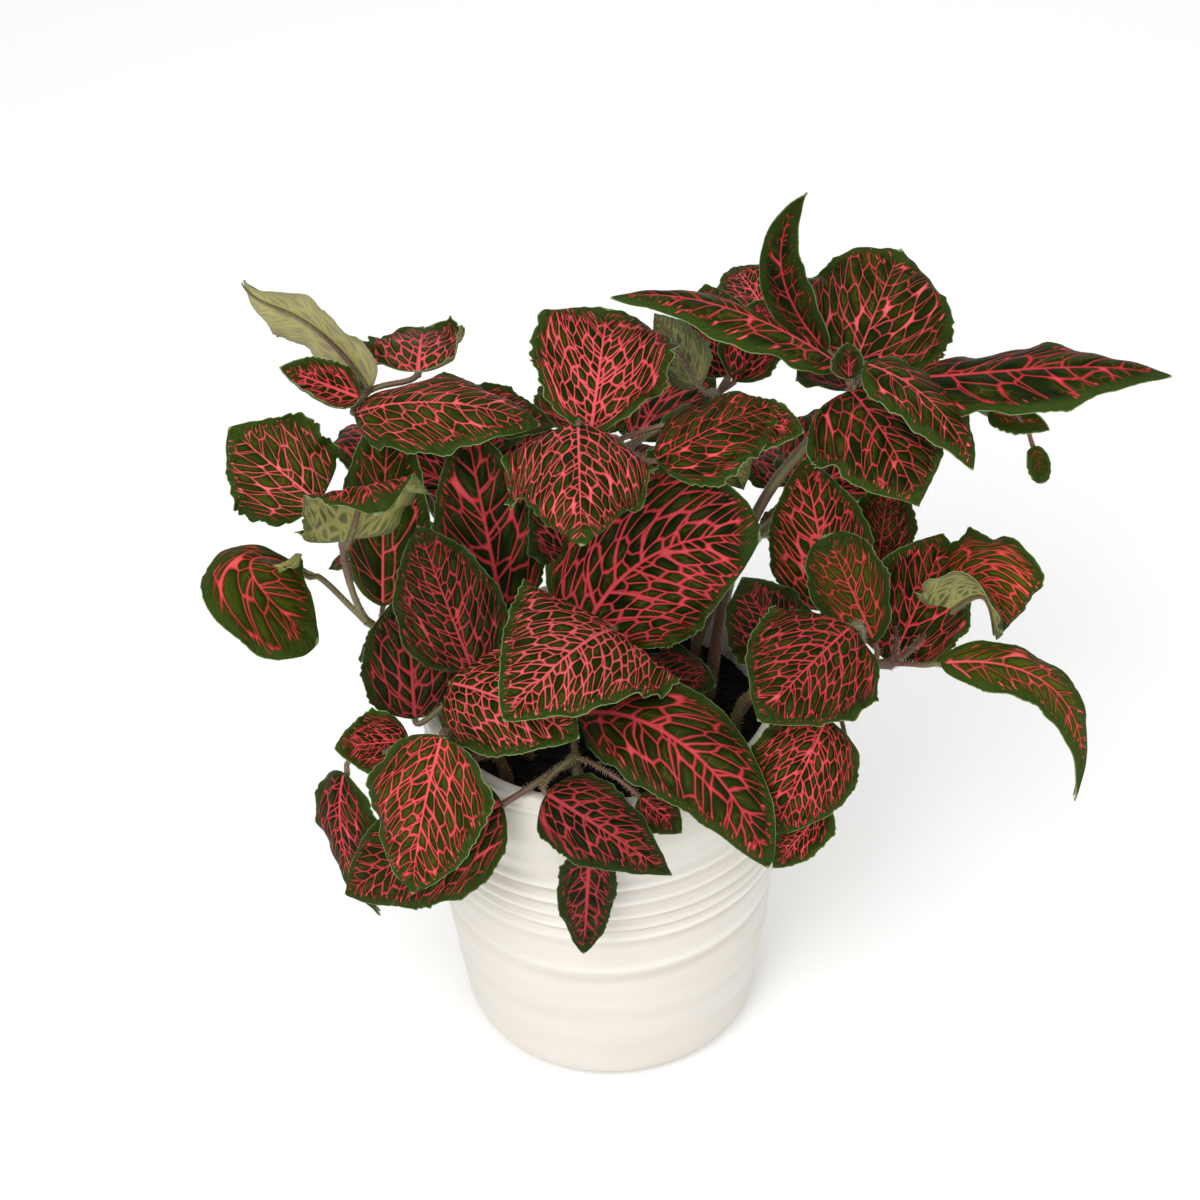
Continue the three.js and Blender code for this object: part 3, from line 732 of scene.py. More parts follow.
@dataclass
class Pot:
    """The pot, in millimetres: a near-upright wall with throwing rings and a rounded foot."""

    height: float = 142.0
    rim_radius: float = 62.5
    foot_radius: float = 53.4
    foot_rounding: float = 7.6
    belly: float = 2.2
    wall: float = 4.6
    floor: float = 8.0
    floor_rounding: float = 6.0
    rim_rounding: float = 1.6
    sides: int = 160
    foot_steps: int = 8
    wall_step: float = 0.8
    rim_steps: int = 12
    rim_room: float = 2.4
    inner_heights: tuple[float, ...] = (130.0, 115.0, 100.0, 80.0, 55.0, 35.0, 24.0)
    corner_steps: int = 4
    foot_inset: float = 4.0
    floor_inset: float = 10.0
    ring_unevenness: float = 0.35
    groove_share: float = 0.45
    groove_offset: float = 1.7
    plain_rim: float = 3.0
    foot_fade: Pair = (8.0, 16.0)
    rings: tuple[Ring, ...] = (
        Ring(136.2, 0.63, 1.1),
        Ring(121.0, 0.60, 4.0, 1.0, 0.4),
        Ring(111.0, 0.5, 2.6, 1.2, 2.2),
        Ring(104.0, 1.5, 1.9, 1.5, 2.0),
        Ring(96.5, 1.6, 1.7, 0.8, 2.4),
        Ring(90.0, 1.6, 1.5, 0.6, 2.8),
        Ring(84.5, 1.3, 1.4, 0.8, 3.4),
        Ring(78.0, 1.1, 2.0, 1.6, 3.0),
        Ring(64.0, 0.85, 3.0, 1.4, 1.2),
        Ring(52.0, 0.35, 3.0, 1.4, 0.4),
        Ring(42.0, 0.4, 3.4, 1.2, 5.0),
        Ring(26.0, 0.3, 4.0, 1.0, 3.8),
    )

    def wall_radius(self, z: float) -> float:
        """Radius of the wall at a height, before the throwing rings."""
        spread = 1.0 - (1.0 - z / self.height) ** self.belly
        radius = self.foot_radius + (self.rim_radius - self.foot_radius) * spread
        if z >= self.foot_rounding:
            return radius
        drop = (self.foot_rounding - z) / self.foot_rounding
        return radius - self.foot_rounding * (1.0 - math.sqrt(1.0 - drop * drop))

    def profile(self) -> list[Pair]:
        """Radius and height of each ring of the mesh, from the foot over the rim to the floor inside."""
        foot = [math.pi / 2 * step / self.foot_steps for step in range(self.foot_steps + 1)]
        heights = [self.foot_rounding * (1.0 - math.cos(angle)) for angle in foot]
        first = self.foot_rounding + self.wall_step
        heights += list(np.arange(first, self.height - self.rim_room, self.wall_step))
        outline = [(self.wall_radius(z), z) for z in heights]
        top = self.height - self.rim_rounding
        middle = self.rim_radius - self.wall / 2
        for step in range(self.rim_steps + 1):
            angle = math.pi * step / self.rim_steps
            radius = middle + math.cos(angle) * self.wall / 2
            outline.append((radius, top + math.sin(angle) * self.rim_rounding))
        for z in (*self.inner_heights, self.floor + self.floor_rounding):
            outline.append((self.wall_radius(z) - self.wall, z))
        corner = self.wall_radius(self.floor) - self.wall
        for step in range(1, self.corner_steps + 1):
            angle = math.pi / 2 * step / self.corner_steps
            radius = corner - self.floor_rounding * (1.0 - math.cos(angle))
            outline.append((radius, self.floor + self.floor_rounding * (1.0 - math.sin(angle))))
        return outline

    def build(self, glaze: Material) -> Piece:
        """Raises the pot ring by ring from a circle, as on a wheel, and presses the throwing rings in."""
        outline = [(radius * MM, z * MM) for radius, z in self.profile()]
        Workbench.clear()
        bpy.ops.mesh.primitive_circle_add(vertices=self.sides, radius=outline[0][0], fill_type="NGON")
        piece = Workbench.take("pot_body")
        bpy.ops.object.mode_set(mode="EDIT")
        bpy.ops.mesh.select_all(action="SELECT")
        bpy.ops.mesh.inset(thickness=self.foot_inset * MM)
        bpy.ops.mesh.select_all(action="DESELECT")
        bpy.ops.mesh.select_mode(type="EDGE")
        bpy.ops.mesh.select_non_manifold()
        radius, z = outline[0]
        for next_radius, next_z in outline[1:]:
            bpy.ops.mesh.extrude_region_move(TRANSFORM_OT_translate={"value": (0.0, 0.0, next_z - z)})
            share = next_radius / radius
            bpy.ops.transform.resize(value=(share, share, 1.0), center_override=(0.0, 0.0, next_z))
            radius, z = next_radius, next_z
        bpy.ops.mesh.edge_face_add()
        bpy.ops.mesh.inset(thickness=self.floor_inset * MM)
        bpy.ops.object.mode_set(mode="OBJECT")
        Workbench.tidy(outward=True)
        points = Workbench.points(piece.data)
        push = self.press(points)
        radius = np.maximum(np.hypot(points[:, 0], points[:, 1]), MM)
        share = 1.0 + push * MM / radius
        Workbench.place(piece.data, points * np.column_stack((share, share, np.ones_like(share))))
        Workbench.keep(piece.data, "ring", np.column_stack((push, push * 0.0, push * 0.0)))
        bpy.ops.object.shade_smooth_by_angle(angle=math.radians(50))
        piece.data.materials.append(glaze)
        return Workbench.settle(piece, "pot_ceramic", ("pot",))

    def press(self, points: Array) -> Array:
        """How far the throwing rings stand out of the wall, below 0 in a groove.

        Args:
            points: The pot's vertices, in metres.

        Returns:
            Millimetres for each vertex.
        """
        x, y, z = points.T / MM
        radius = np.hypot(x, y)
        angle = np.arctan2(y, x)
        plain = np.array([self.wall_radius(min(max(h, 0.0), self.height)) for h in z])
        outside = (radius > plain - 0.5) & (z > self.foot_rounding)
        push = np.zeros_like(z)
        for ring in self.rings:
            height = ring.height + ring.lean * np.sin(angle + ring.turn)
            strength = 1.0 + self.ring_unevenness * np.sin(angle * 2.0 + ring.turn * 3.0)
            offset = (z - height) / ring.width
            groove = self.groove_share * np.exp(-((offset + self.groove_offset) ** 2))
            push += ring.relief * strength * (np.exp(-(offset**2)) - groove)
        fade = np.clip((self.height - self.plain_rim - z) / self.plain_rim, 0.0, 1.0)
        fade = fade * smooth(z, *self.foot_fade)
        return np.where(outside, push * fade, 0.0)


@dataclass
class Soil:
    """The potting mix in the pot, in millimetres.

    Each row of "bumps" holds how close the bumps are, the layer of noise they come from and
    their height.
    """

    top: float = 127.0
    bottom: float = 8.4
    cells: int = 110
    clearance: float = 0.7
    bumps: tuple[Point, ...] = ((0.05, 3.0, 1.6), (0.22, 9.0, 1.1), (0.8, 1.0, 0.55))
    bump_level: float = 0.8
    edge_drop: float = 2.5
    edge_width: float = 5.0
    crumbs: int = 1500
    crumb_size: Pair = (0.5, 1.7)
    crumb_scale: Pair = (0.5, 1.0)
    crumb_stretch: Pair = (0.55, 1.2)
    crumb_dents: Pair = (0.8, 1.15)
    crumb_reach: float = 0.98
    crumb_lift: float = 0.2
    seed: int = 7

    def height(self, x: float, y: float) -> float:
        """Height of the uneven surface at a place, out of broad bumps, lumps and grains."""
        height = self.top
        for scale, layer, rise in self.bumps:
            height += noise.noise(Vector((x * scale, y * scale, layer))) * rise
        return height - self.bump_level

    def sag(self, radius: Array | float, edge: float) -> Array | float:
        """How far the surface sinks towards its edge, at a distance from the middle."""
        return self.edge_drop * smooth(radius, edge - self.edge_width, edge)

    def build(self, pot: Pot, mix: Material) -> None:
        """Makes the soil's body and the crumbs on it."""
        edge = pot.wall_radius(self.top) - pot.wall - self.clearance
        Workbench.clear()
        bpy.ops.mesh.primitive_grid_add(x_subdivisions=self.cells, y_subdivisions=self.cells, size=2.0)
        piece = Workbench.take("soil_bed")
        flat = Workbench.points(piece.data)
        x = flat[:, 0] * np.sqrt(1.0 - flat[:, 1] ** 2 / 2) * edge
        y = flat[:, 1] * np.sqrt(1.0 - flat[:, 0] ** 2 / 2) * edge
        z = np.array([self.height(a, b) for a, b in zip(x, y)])
        z -= self.sag(np.hypot(x, y), edge)
        Workbench.place(piece.data, np.column_stack((x, y, z)) * MM)
        bpy.ops.object.mode_set(mode="EDIT")
        bpy.ops.mesh.select_all(action="SELECT")
        drop = (self.bottom - self.top) * MM
        bpy.ops.mesh.extrude_region_move(TRANSFORM_OT_translate={"value": (0.0, 0.0, drop)})
        shrink = (pot.wall_radius(pot.floor) - pot.wall - pot.floor_rounding - self.clearance) / edge
        bpy.ops.transform.resize(value=(shrink, shrink, 0.0), center_override=(0.0, 0.0, self.bottom * MM))
        bpy.ops.object.mode_set(mode="OBJECT")
        Workbench.tidy(outward=True)
        bpy.ops.object.shade_smooth_by_angle(angle=math.radians(60))
        piece.data.materials.append(mix)
        Workbench.settle(piece, "soil", ("soil",))
        self.build_crumbs(edge, mix)

    def build_crumbs(self, edge: float, mix: Material) -> None:
        """Scatters crumbs over the surface: one lump, copied at many sizes and turns."""
        draw = np.random.default_rng(self.seed)
        Workbench.clear()
        bpy.ops.mesh.primitive_ico_sphere_add(subdivisions=1, radius=1.0)
        piece = Workbench.take("soil_crumbs")
        lump = Workbench.points(piece.data)
        faces = np.array([list(face.vertices) for face in piece.data.polygons])
        radius = edge * np.sqrt(draw.random(self.crumbs)) * self.crumb_reach
        angle = draw.random(self.crumbs) * 2 * math.pi
        size = draw.uniform(*self.crumb_size, self.crumbs)
        size = size * draw.uniform(*self.crumb_scale, self.crumbs)
        points, triangles = [], []
        for number in range(self.crumbs):
            x, y = radius[number] * math.cos(angle[number]), radius[number] * math.sin(angle[number])
            stretch = draw.uniform(*self.crumb_stretch, 3)
            turn = Matrix.Rotation(draw.random() * math.pi, 3, Vector(draw.normal(size=3)))
            shape = (lump * stretch * draw.uniform(*self.crumb_dents, (len(lump), 1))) @ np.array(turn)
            height = self.height(x, y) - float(self.sag(radius[number], edge))
            middle = np.array((x, y, height + self.crumb_lift * size[number]))
            points.append(shape * size[number] + middle)
            triangles.append(faces + number * len(lump))
        Workbench.fill(piece, points, np.vstack(triangles).tolist(), mix)
        Workbench.settle(piece, "soil", ())


# ---------------------------------------------------------------------------- leaves and stems


@dataclass(frozen=True)
class Leaf:
    """One leaf: places in millimetres, angles in degrees.

    The first five fields are the form that the solid part shares: where the blade starts and
    ends, its width, the direction its upper side faces (turn about Z, rise), and how it rises at
    its base and droops at its tip.

    "look" holds the width of its veins, how coral they are and how much painted shade darkens the
    leaf, where below 0 it is paler instead, and "net" how far apart its side veins are. "cup" and
    "fold" bend both halves of the blade, evenly or at the midrib, "roll" turns its left and right
    edges up and "curl" its last part. "swing" bows the midrib sideways and "reach" makes its bends
    fuller. "ruffle" is how much the edge waves and "wave" where the waves begin. "shape" holds the
    powers by which the blade narrows towards its base and towards its tip.
    """

    base: Point
    tip: Point
    width: float
    face: Pair
    arch: Pair
    look: Point = (0.11, 0.0, 0.0)
    net: float = 1.0
    cup: float = 0.0
    fold: float = 0.0
    swing: float = 0.0
    reach: float = 1.0
    ruffle: float = 0.1
    wave: float = 0.0
    curl: float = 0.0
    roll: Pair = (0.0, 0.0)
    shape: Pair = (0.5, 0.85)


@dataclass(frozen=True)
class BladeSizes:
    """How the blades are divided and finished, in millimetres."""

    rows: int = 84
    columns: int = 48
    thickness: float = 0.62
    edge_share: float = 0.4
    waves: float = 2.0
    edge_offset: float = 0.37
    vein_share: float = 0.335
    vein_growth: float = 0.86
    vein_rise: Pair = (0.58, 0.5)
    vein_bend: float = 0.55
    puff: float = 0.55
    midrib_depth: float = 0.55
    curl_span: Pair = (0.7, 1.15)
    curl_gain: float = 1.6
    section_steps: int = 121
    dent_most: float = 1.2
    dent_length: float = 34.0
    dent_depth: Pair = (0.4, 6.0)
    dent_broad: Pair = (0.13, 0.13)
    dent_fine: Pair = (0.42, 0.16)
    dent_level: float = 0.02
    ruffle_gain: float = 1.2
    fine_ruffle: float = 0.06
    fine_waves: float = 2.7
    full_relief: float = 28.0
    tip_edge: float = 0.6
    pillow_offset: float = 0.4
    pillow_start: Pair = (0.06, 0.3)
    pillow_end: Pair = (0.72, 1.0)
    groove_width: float = 1.3
    groove_fade: Pair = (0.5, 4.0)
    own_count: float = 40.0
    own_hue: float = 9.0


class Blade:
    """The blade of one leaf, worked out over a grid of rows along it and columns across it."""

    def __init__(self, leaf: Leaf, sizes: BladeSizes, own: float) -> None:
        """Works out the midrib and the frame at every row."""
        self.leaf = leaf
        self.sizes = sizes
        self.own = own
        steps = np.linspace(0.0, math.pi, sizes.rows + 1)
        self.t = (1.0 - np.cos(steps)) / 2.0
        self.points, self.along, self.up = self.midrib(self.t)
        self.length = float(np.linalg.norm(np.diff(self.points, axis=0), axis=1).sum())

    def midrib(self, t: Array) -> tuple[Array, Array, Array]:
        """Points of the midrib, its directions and the directions its upper side faces."""
        leaf = self.leaf
        start, end = np.array(leaf.base, float), np.array(leaf.tip, float)
        chord = end - start
        length = float(np.linalg.norm(chord))
        along = chord / length
        turn, rise = np.radians(leaf.face)
        up = np.array((math.cos(turn) * math.cos(rise), math.sin(turn) * math.cos(rise), math.sin(rise)))
        up = unit(up - up.dot(along) * along)
        aside = np.cross(along, up)
        pull = length * leaf.reach / 3.0
        lift, droop = np.radians(leaf.arch)
        bow = aside * math.sin(math.radians(leaf.swing))
        first = start + pull * (along * math.cos(lift) + up * math.sin(lift) + bow)
        second = end - pull * (along * math.cos(droop) - up * math.sin(droop) - bow)
        s = t[:, None]
        r = 1.0 - s
        points = r**3 * start + 3 * r * r * s * first + 3 * r * s * s * second + s**3 * end
        slope = r * r * (first - start) + 2 * r * s * (second - first) + s * s * (end - second)
        slope = unit(slope)
        upward = unit(up - (slope @ up)[:, None] * slope)
        if leaf.curl:
            angle = math.radians(leaf.curl) * smooth(t, *self.sizes.curl_span)[:, None]
            angle = angle * self.sizes.curl_gain
            curled = slope * np.cos(angle) + upward * np.sin(angle)
            upward = upward * np.cos(angle) - slope * np.sin(angle)
            steps = np.linalg.norm(np.diff(points, axis=0), axis=1)[:, None]
            moves = steps * unit(curled[1:] + curled[:-1])
            points = np.vstack((points[:1], points[:1] + np.cumsum(moves, axis=0)))
            slope = curled
        return points, slope, upward

    def half_width(self) -> Array:
        """Half width at every row, in millimetres, before the small dents of its edge."""
        full, drawn = self.leaf.shape
        widest = full / (full + drawn)
        most = widest**full * (1.0 - widest) ** drawn
        share = np.clip(self.t, 0.0, 1.0) ** full * np.clip(1.0 - self.t, 0.0, 1.0) ** drawn / most
        return self.leaf.width / 2.0 * share

    def dents(self, side: float) -> Array:
        """The small dents of a grown edge, as shares of the half width at every row."""
        sizes = self.sizes
        least, growth = sizes.dent_depth
        depth = min(sizes.dent_most, sizes.dent_length / self.length)
        depth = depth * (least + growth * self.leaf.ruffle)
        broad_scale, broad_share = sizes.dent_broad
        fine_scale, fine_share = sizes.dent_fine
        dents = []
        for t in self.t * self.length:
            broad = noise.noise(Vector((t * broad_scale, self.own * 31.0, side * 5.0)))
            fine = noise.noise(Vector((t * fine_scale, self.own * 17.0, side * 5.0 + 2.0)))
            dents.append((broad * broad_share + abs(fine) * fine_share - sizes.dent_level) * depth)
        return np.array(dents)

    def section(self, span: Array, roll: float) -> tuple[Array, Array]:
        """Outline across one half of the blade, for a half width of one.

        Args:
            span: Shares of the half width, from the midrib out.
            roll: Degrees by which the edge turns up.

        Returns:
            Distance across and height at each share.
        """
        leaf = self.leaf
        fine = np.linspace(0.0, 1.0, self.sizes.section_steps)
        angle = np.radians(leaf.fold + leaf.cup * fine + roll * smooth(fine, 0.45, 1.0))
        step = fine[1] - fine[0]
        across = np.concatenate(([0.0], np.cumsum(np.cos((angle[1:] + angle[:-1]) / 2)) * step))
        height = np.concatenate(([0.0], np.cumsum(np.sin((angle[1:] + angle[:-1]) / 2)) * step))
        return np.interp(span, fine, across), np.interp(span, fine, height)

    def sheet(self, v: Array) -> tuple[Array, dict[str, Array]]:
        """The blade's middle sheet.

        Args:
            v: Places across the blade, from -1 at the left edge to 1 at the right.

        Returns:
            The points, row by row, in millimetres, and the vectors that the material reads.
        """
        leaf, sizes = self.leaf, self.sizes
        span = np.abs(v)
        left, right = (self.section(span, roll) for roll in leaf.roll)
        across = np.where(v > 0, right[0], left[0]) * np.sign(v)
        height = np.where(v > 0, right[1], left[1])
        half = self.half_width()[:, None]
        t = self.t[:, None]
        dents = 1.0 + np.column_stack([self.dents(side)[:, None] for side in (0.0, 1.0)])
        dents = np.where(v > 0, dents[:, 1:], dents[:, :1])
        half = half * (1.0 + (dents - 1.0) * span**4)
        turns = sizes.waves * t + leaf.wave + np.where(v > 0, sizes.edge_offset, 0.0)
        wave = leaf.ruffle * sizes.ruffle_gain * span**2.5 * np.sin(2 * math.pi * turns)
        fine = 2 * math.pi * (sizes.fine_waves * turns + self.own * 5.0)
        wave = wave + sizes.fine_ruffle * span**4 * np.sin(fine)
        aside = np.cross(self.along, self.up)
        rise = half * (height + wave)
        points = self.points[:, None] + aside[:, None] * (half * across)[..., None]
        points = points + self.up[:, None] * rise[..., None]
        facing = self.facing(points)
        flat = half * span
        spacing = self.length**sizes.vein_growth * sizes.vein_share * leaf.net
        vein = sizes.vein_rise[0] + sizes.vein_rise[1] * t
        count = (t * self.length - flat * vein - sizes.vein_bend * flat**2 / leaf.width * 2.0) / spacing
        relief = facing * self.relief(count, flat, half)[..., None]
        points = points + relief * half.max() / sizes.full_relief
        edge = np.minimum(half - flat, (1.0 - t) * self.length * sizes.tip_edge)
        grid = np.ones((len(self.t), len(v)))
        # The last number of the look is the painted shade that darkens the leaf.
        veins, coral, dark = leaf.look
        own = self.own * sizes.own_hue
        vectors = {
            "net": np.stack((flat * np.sign(v), count + self.own * sizes.own_count, edge * grid), axis=-1),
            "look": np.stack((veins * grid, spacing * grid, t * grid), axis=-1),
            "hue": np.stack((coral * grid, dark * grid, own * grid), axis=-1),
        }
        return points, vectors

    def relief(self, count: Array, flat: Array, half: Array) -> Array:
        """Height of the soft pillows between the side veins and of the groove along the midrib."""
        sizes = self.sizes
        span = flat / np.maximum(half, 1e-6)
        right = np.arange(flat.shape[1]) > flat.shape[1] // 2
        phase = count - sizes.pillow_offset + np.where(right, sizes.edge_offset, 0.0)
        pillow = 0.5 - 0.5 * np.cos(2 * math.pi * phase)
        fade = smooth(span, *sizes.pillow_start) * (1.0 - smooth(span, *sizes.pillow_end))
        groove = np.exp(-((flat / sizes.groove_width) ** 2)) * smooth(half, *sizes.groove_fade)
        return sizes.puff * pillow * fade - sizes.midrib_depth * groove

    def facing(self, points: Array) -> Array:
        """The direction that the upper side faces at each point of the sheet."""
        ahead = np.gradient(points, axis=0)
        beside = np.gradient(points, axis=1)
        normal = np.cross(beside, ahead)
        size = np.linalg.norm(normal, axis=-1, keepdims=True)
        plain = np.broadcast_to(self.up[:, None], normal.shape)
        return np.where(size > 1e-4, normal / np.maximum(size, 1e-9), plain)


class LeafMaker:
    """Makes the mesh of a leaf from a grid and gives it its thickness and its two faces."""

    def __init__(self, sizes: BladeSizes, upper: Material, under: Material) -> None:
        """Keeps the sizes and the materials of the two faces."""
        self.sizes = sizes
        self.upper = upper
        self.under = under

    def build(self, name: str, blade: Blade, node: str) -> Piece:
        """Makes one leaf.

        Args:
            name: The piece's name.
            blade: Its form.
            node: The part's node that it stands for.

        Returns:
            The finished piece.
        """
        sizes = self.sizes
        Workbench.clear()
        bpy.ops.mesh.primitive_grid_add(x_subdivisions=sizes.columns, y_subdivisions=sizes.rows, size=2.0)
        piece = Workbench.take(name)
        grid = Workbench.points(piece.data)
        order = np.lexsort((grid[:, 0], grid[:, 1]))
        columns = len(np.unique(np.round(grid[:, 0], 6)))
        v = np.linspace(-1.0, 1.0, columns)
        points, vectors = blade.sheet(v)
        placed = np.empty_like(grid)
        placed[order] = points.reshape(-1, 3) * MM
        Workbench.place(piece.data, placed)
        for key, values in vectors.items():
            kept = np.empty_like(grid)
            kept[order] = values.reshape(-1, 3)
            Workbench.keep(piece.data, key, kept)
        thin = piece.vertex_groups.new(name="thickness")
        weights = 1.0 - (1.0 - sizes.edge_share) * np.abs(grid[:, 0]) ** 6
        for share in np.unique(np.round(weights, 3)):
            chosen = np.flatnonzero(np.abs(weights - share) < 6e-4)
            thin.add([int(index) for index in chosen], float(share), "REPLACE")
        Workbench.tidy(merge=2e-6)
        piece.data.materials.append(self.upper)
        piece.data.materials.append(self.under)
        Workbench.apply(
            piece,
            "SOLIDIFY",
            thickness=sizes.thickness * MM,
            offset=0.0,
            vertex_group="thickness",
            material_offset=1,
            material_offset_rim=0,
        )
        bpy.ops.object.shade_smooth_by_angle(angle=math.radians(65))
        return Workbench.settle(piece, "leaf", (node,))


@dataclass(frozen=True)
class Strand:
    """A rod along a line of points, with its radius at each, in millimetres."""

    points: Array
    radii: Array


@dataclass(frozen=True)
class HairSizes:
    """The short hairs of stems and stalks, in millimetres. "lean" holds a mean and a spread."""

    per_mm: float = 7.0
    radius: float = 0.045
    length: Pair = (0.7, 1.6)
    lean: Pair = (0.15, 0.25)
    scatter: float = 0.12
    root: float = 0.9
    least_stalk: float = 0.6
    seed: int = 100


# The rows of a blade under which its stalk runs on as a rib.
RIB_ROWS = slice(3, -6, 3)


@dataclass
class Shoot:
    """One leafy shoot: its stem out of the soil, its leaf stalks, their hairs and its leaves."""

    name: str
    radius: float
    way: tuple[Point, ...]
    leaves: tuple[Leaf, ...]
    root_depth: float = 12.0
    stem_steps: int = 10
    thinning: float = 0.25
    joint_swell: float = 0.16
    joint_length: float = 2.6
    stalk_radius: float = 1.1
    stalk_steps: int = 15
    stalk_swell: float = 0.35
    swell_length: float = 2.0
    thin_share: float = 0.55
    full_width: float = 90.0
    rib_share: float = 0.9
    rib_taper: float = 0.8
    rib_end: float = 0.22
    rib_sink: Pair = (0.9, 0.75)
    samples: int = 6
    shortest: float = 6.0
    lean: float = 0.6
    pull_root: float = 0.4
    pull_blade: float = 0.35
    hairs: HairSizes = HairSizes()

    @property
    def node(self) -> str:
        """The part's node that the shoot stands for."""
        return f"shoot_{self.name}"

    def stem_line(self, steps: int) -> Array:
        """The smooth line through the stem's points, with that many steps from one to the next."""
        knots = np.array(self.way, float)
        first, last = 2 * knots[0] - knots[1], 2 * knots[-1] - knots[-2]
        knots = np.vstack((first, knots, last))
        line = []
        for a, b, c, d in zip(knots, knots[1:], knots[2:], knots[3:]):
            for share in np.arange(steps) / steps:
                start, end = (c - a) / 2, (d - b) / 2
                cube, square = share**3, share**2
                point = (2 * cube - 3 * square + 1) * b + (cube - 2 * square + share) * start
                line.append(point + (3 * square - 2 * cube) * c + (cube - square) * end)
        return np.vstack((*line, knots[-2]))

    def stalk(self, blade: Blade) -> Strand:
        """The stalk of a leaf, from the stem into the rib under its blade."""
        places = self.stem_line(self.samples)
        base = blade.points[0]
        nearest = int(np.argmin(np.linalg.norm(places - base, axis=1)))
        if np.linalg.norm(places[nearest] - base) < self.shortest and nearest > 0:
            nearest -= 1
        root = places[nearest]
        growth = unit(places[min(nearest + 1, len(places) - 1)] - places[max(nearest - 1, 0)])
        way = base - root
        length = float(np.linalg.norm(way))
        leaving = unit(unit(way) + growth * self.lean)
        first = root + leaving * length * self.pull_root
        second = base - blade.along[0] * length * self.pull_blade
        s = np.linspace(0.0, 1.0, self.stalk_steps)[:, None]
        r = 1.0 - s
        stalk = r**3 * root + 3 * r * r * s * first + 3 * r * s * s * second + s**3 * base
        rib = blade.points[RIB_ROWS]
        thick = self.stalk_radius * min(1.0, self.thin_share + blade.leaf.width / self.full_width)
        shares = np.linspace(0.0, 1.0, len(rib))
        rib_radii = thick * self.rib_share * (1.0 - shares) ** self.rib_taper + self.rib_end
        sink_share, sink = self.rib_sink
        sunk = blade.up[RIB_ROWS] * (rib_radii * sink_share + sink)[:, None]
        swell = 1.0 + self.stalk_swell * np.exp(-((s[:, 0] * length / self.swell_length) ** 2))
        return Strand(
            np.vstack((stalk[:-1], rib - sunk)),
            np.concatenate((thick * swell[:-1], rib_radii)),
        )

    def stem(self) -> Strand:
        """The stem, from its root in the soil, a little thicker at each joint and thinner above."""
        line = self.stem_line(self.stem_steps)
        foot = line[0] - unit(line[1] - line[0]) * self.root_depth
        line = np.vstack((foot, line))
        share = np.linspace(0.0, 1.0, len(line))
        radii = self.radius * (1.0 - self.thinning * share)
        for point in self.way[1:]:
            gap = np.linalg.norm(line - np.array(point), axis=1)
            radii = radii * (1.0 + self.joint_swell * np.exp(-((gap / self.joint_length) ** 2)))
        return Strand(line, radii)

    def build(self, number: int, maker: LeafMaker, stalk: Material, hair: Material) -> None:
        """Makes the shoot's pieces.

        Args:
            number: The shoot's number, which sets the chance in its leaves and hairs.
            maker: Makes its leaves.
            stalk: The material of its stem and stalks.
            hair: The material of their hairs.
        """
        blades = []
        for place, leaf in enumerate(self.leaves):
            own = (number * 13 + place * 7) % 97 / 97.0
            blades.append(Blade(leaf, maker.sizes, own))
        strands = [self.stem(), *(self.stalk(blade) for blade in blades)]
        self.build_stems(strands, stalk)
        self.build_hairs(number, strands, hair)
        for place, blade in enumerate(blades, start=1):
            maker.build(f"leaf_{self.name}_{place}", blade, self.node)

    def build_stems(self, strands: list[Strand], material: Material) -> None:
        """Draws the stem and the stalks as round curves and makes one mesh of them."""
        Workbench.clear()
        bpy.ops.curve.primitive_nurbs_path_add()
        piece = Workbench.take(f"stems_{self.name}")
        curve = piece.data
        curve.splines.clear()
        curve.dimensions = "3D"
        curve.twist_mode = "MINIMUM"
        curve.bevel_depth = MM
        curve.bevel_resolution = 3
        curve.use_fill_caps = True
        for strand in strands:
            spline = curve.splines.new("POLY")
            spline.points.add(len(strand.points) - 1)
            places = np.column_stack((strand.points * MM, np.ones(len(strand.points))))
            spline.points.foreach_set("co", places.ravel())
            spline.points.foreach_set("radius", strand.radii.astype(np.float32))
        bpy.ops.object.convert(target="MESH")
        piece = bpy.context.object
        piece.name = f"stems_{self.name}"
        Workbench.tidy(merge=1e-7, outward=True)
        bpy.ops.object.shade_smooth_by_angle(angle=math.radians(50))
        piece.data.materials.append(material)
        Workbench.settle(piece, "leaf", (self.node,))

    def build_hairs(self, number: int, strands: list[Strand], material: Material) -> None:
        """Sets short hairs on the stem and the stalks: one thin cone, copied."""
        hairs = self.hairs
        draw = np.random.default_rng(hairs.seed + number)
        Workbench.clear()
        bpy.ops.mesh.primitive_cone_add(vertices=3, radius1=hairs.radius, radius2=0.0, depth=1.0)
        piece = Workbench.take(f"hairs_{self.name}")
        spike = Workbench.points(piece.data) + np.array((0.0, 0.0, 0.5))
        faces = [list(face.vertices) for face in piece.data.polygons]
        points, polygons = [], []
        for strand in strands:
            steps = np.diff(strand.points, axis=0)
            sizes = np.linalg.norm(steps, axis=1)
            for step, size, start, radius in zip(steps, sizes, strand.points, strand.radii):
                if radius < hairs.least_stalk or size < 1e-6:
                    continue
                ahead = step / size
                aside = (0.3, 0.2, 1.0) if abs(ahead[2]) < 0.9 else (1.0, 0.0, 0.0)
                side = unit(np.cross(ahead, aside))
                other = np.cross(ahead, side)
                for _ in range(draw.poisson(hairs.per_mm * size)):
                    angle = draw.random() * 2 * math.pi
                    out = side * math.cos(angle) + other * math.sin(angle)
                    lean = ahead * draw.normal(*hairs.lean)
                    way = unit(out + lean + draw.normal(0.0, hairs.scatter, 3))
                    across = unit(np.cross(way, ahead))
                    base = start + step * draw.random() + out * radius * hairs.root
                    long = draw.uniform(*hairs.length)
                    shape = np.column_stack((across, np.cross(way, across), way * long))
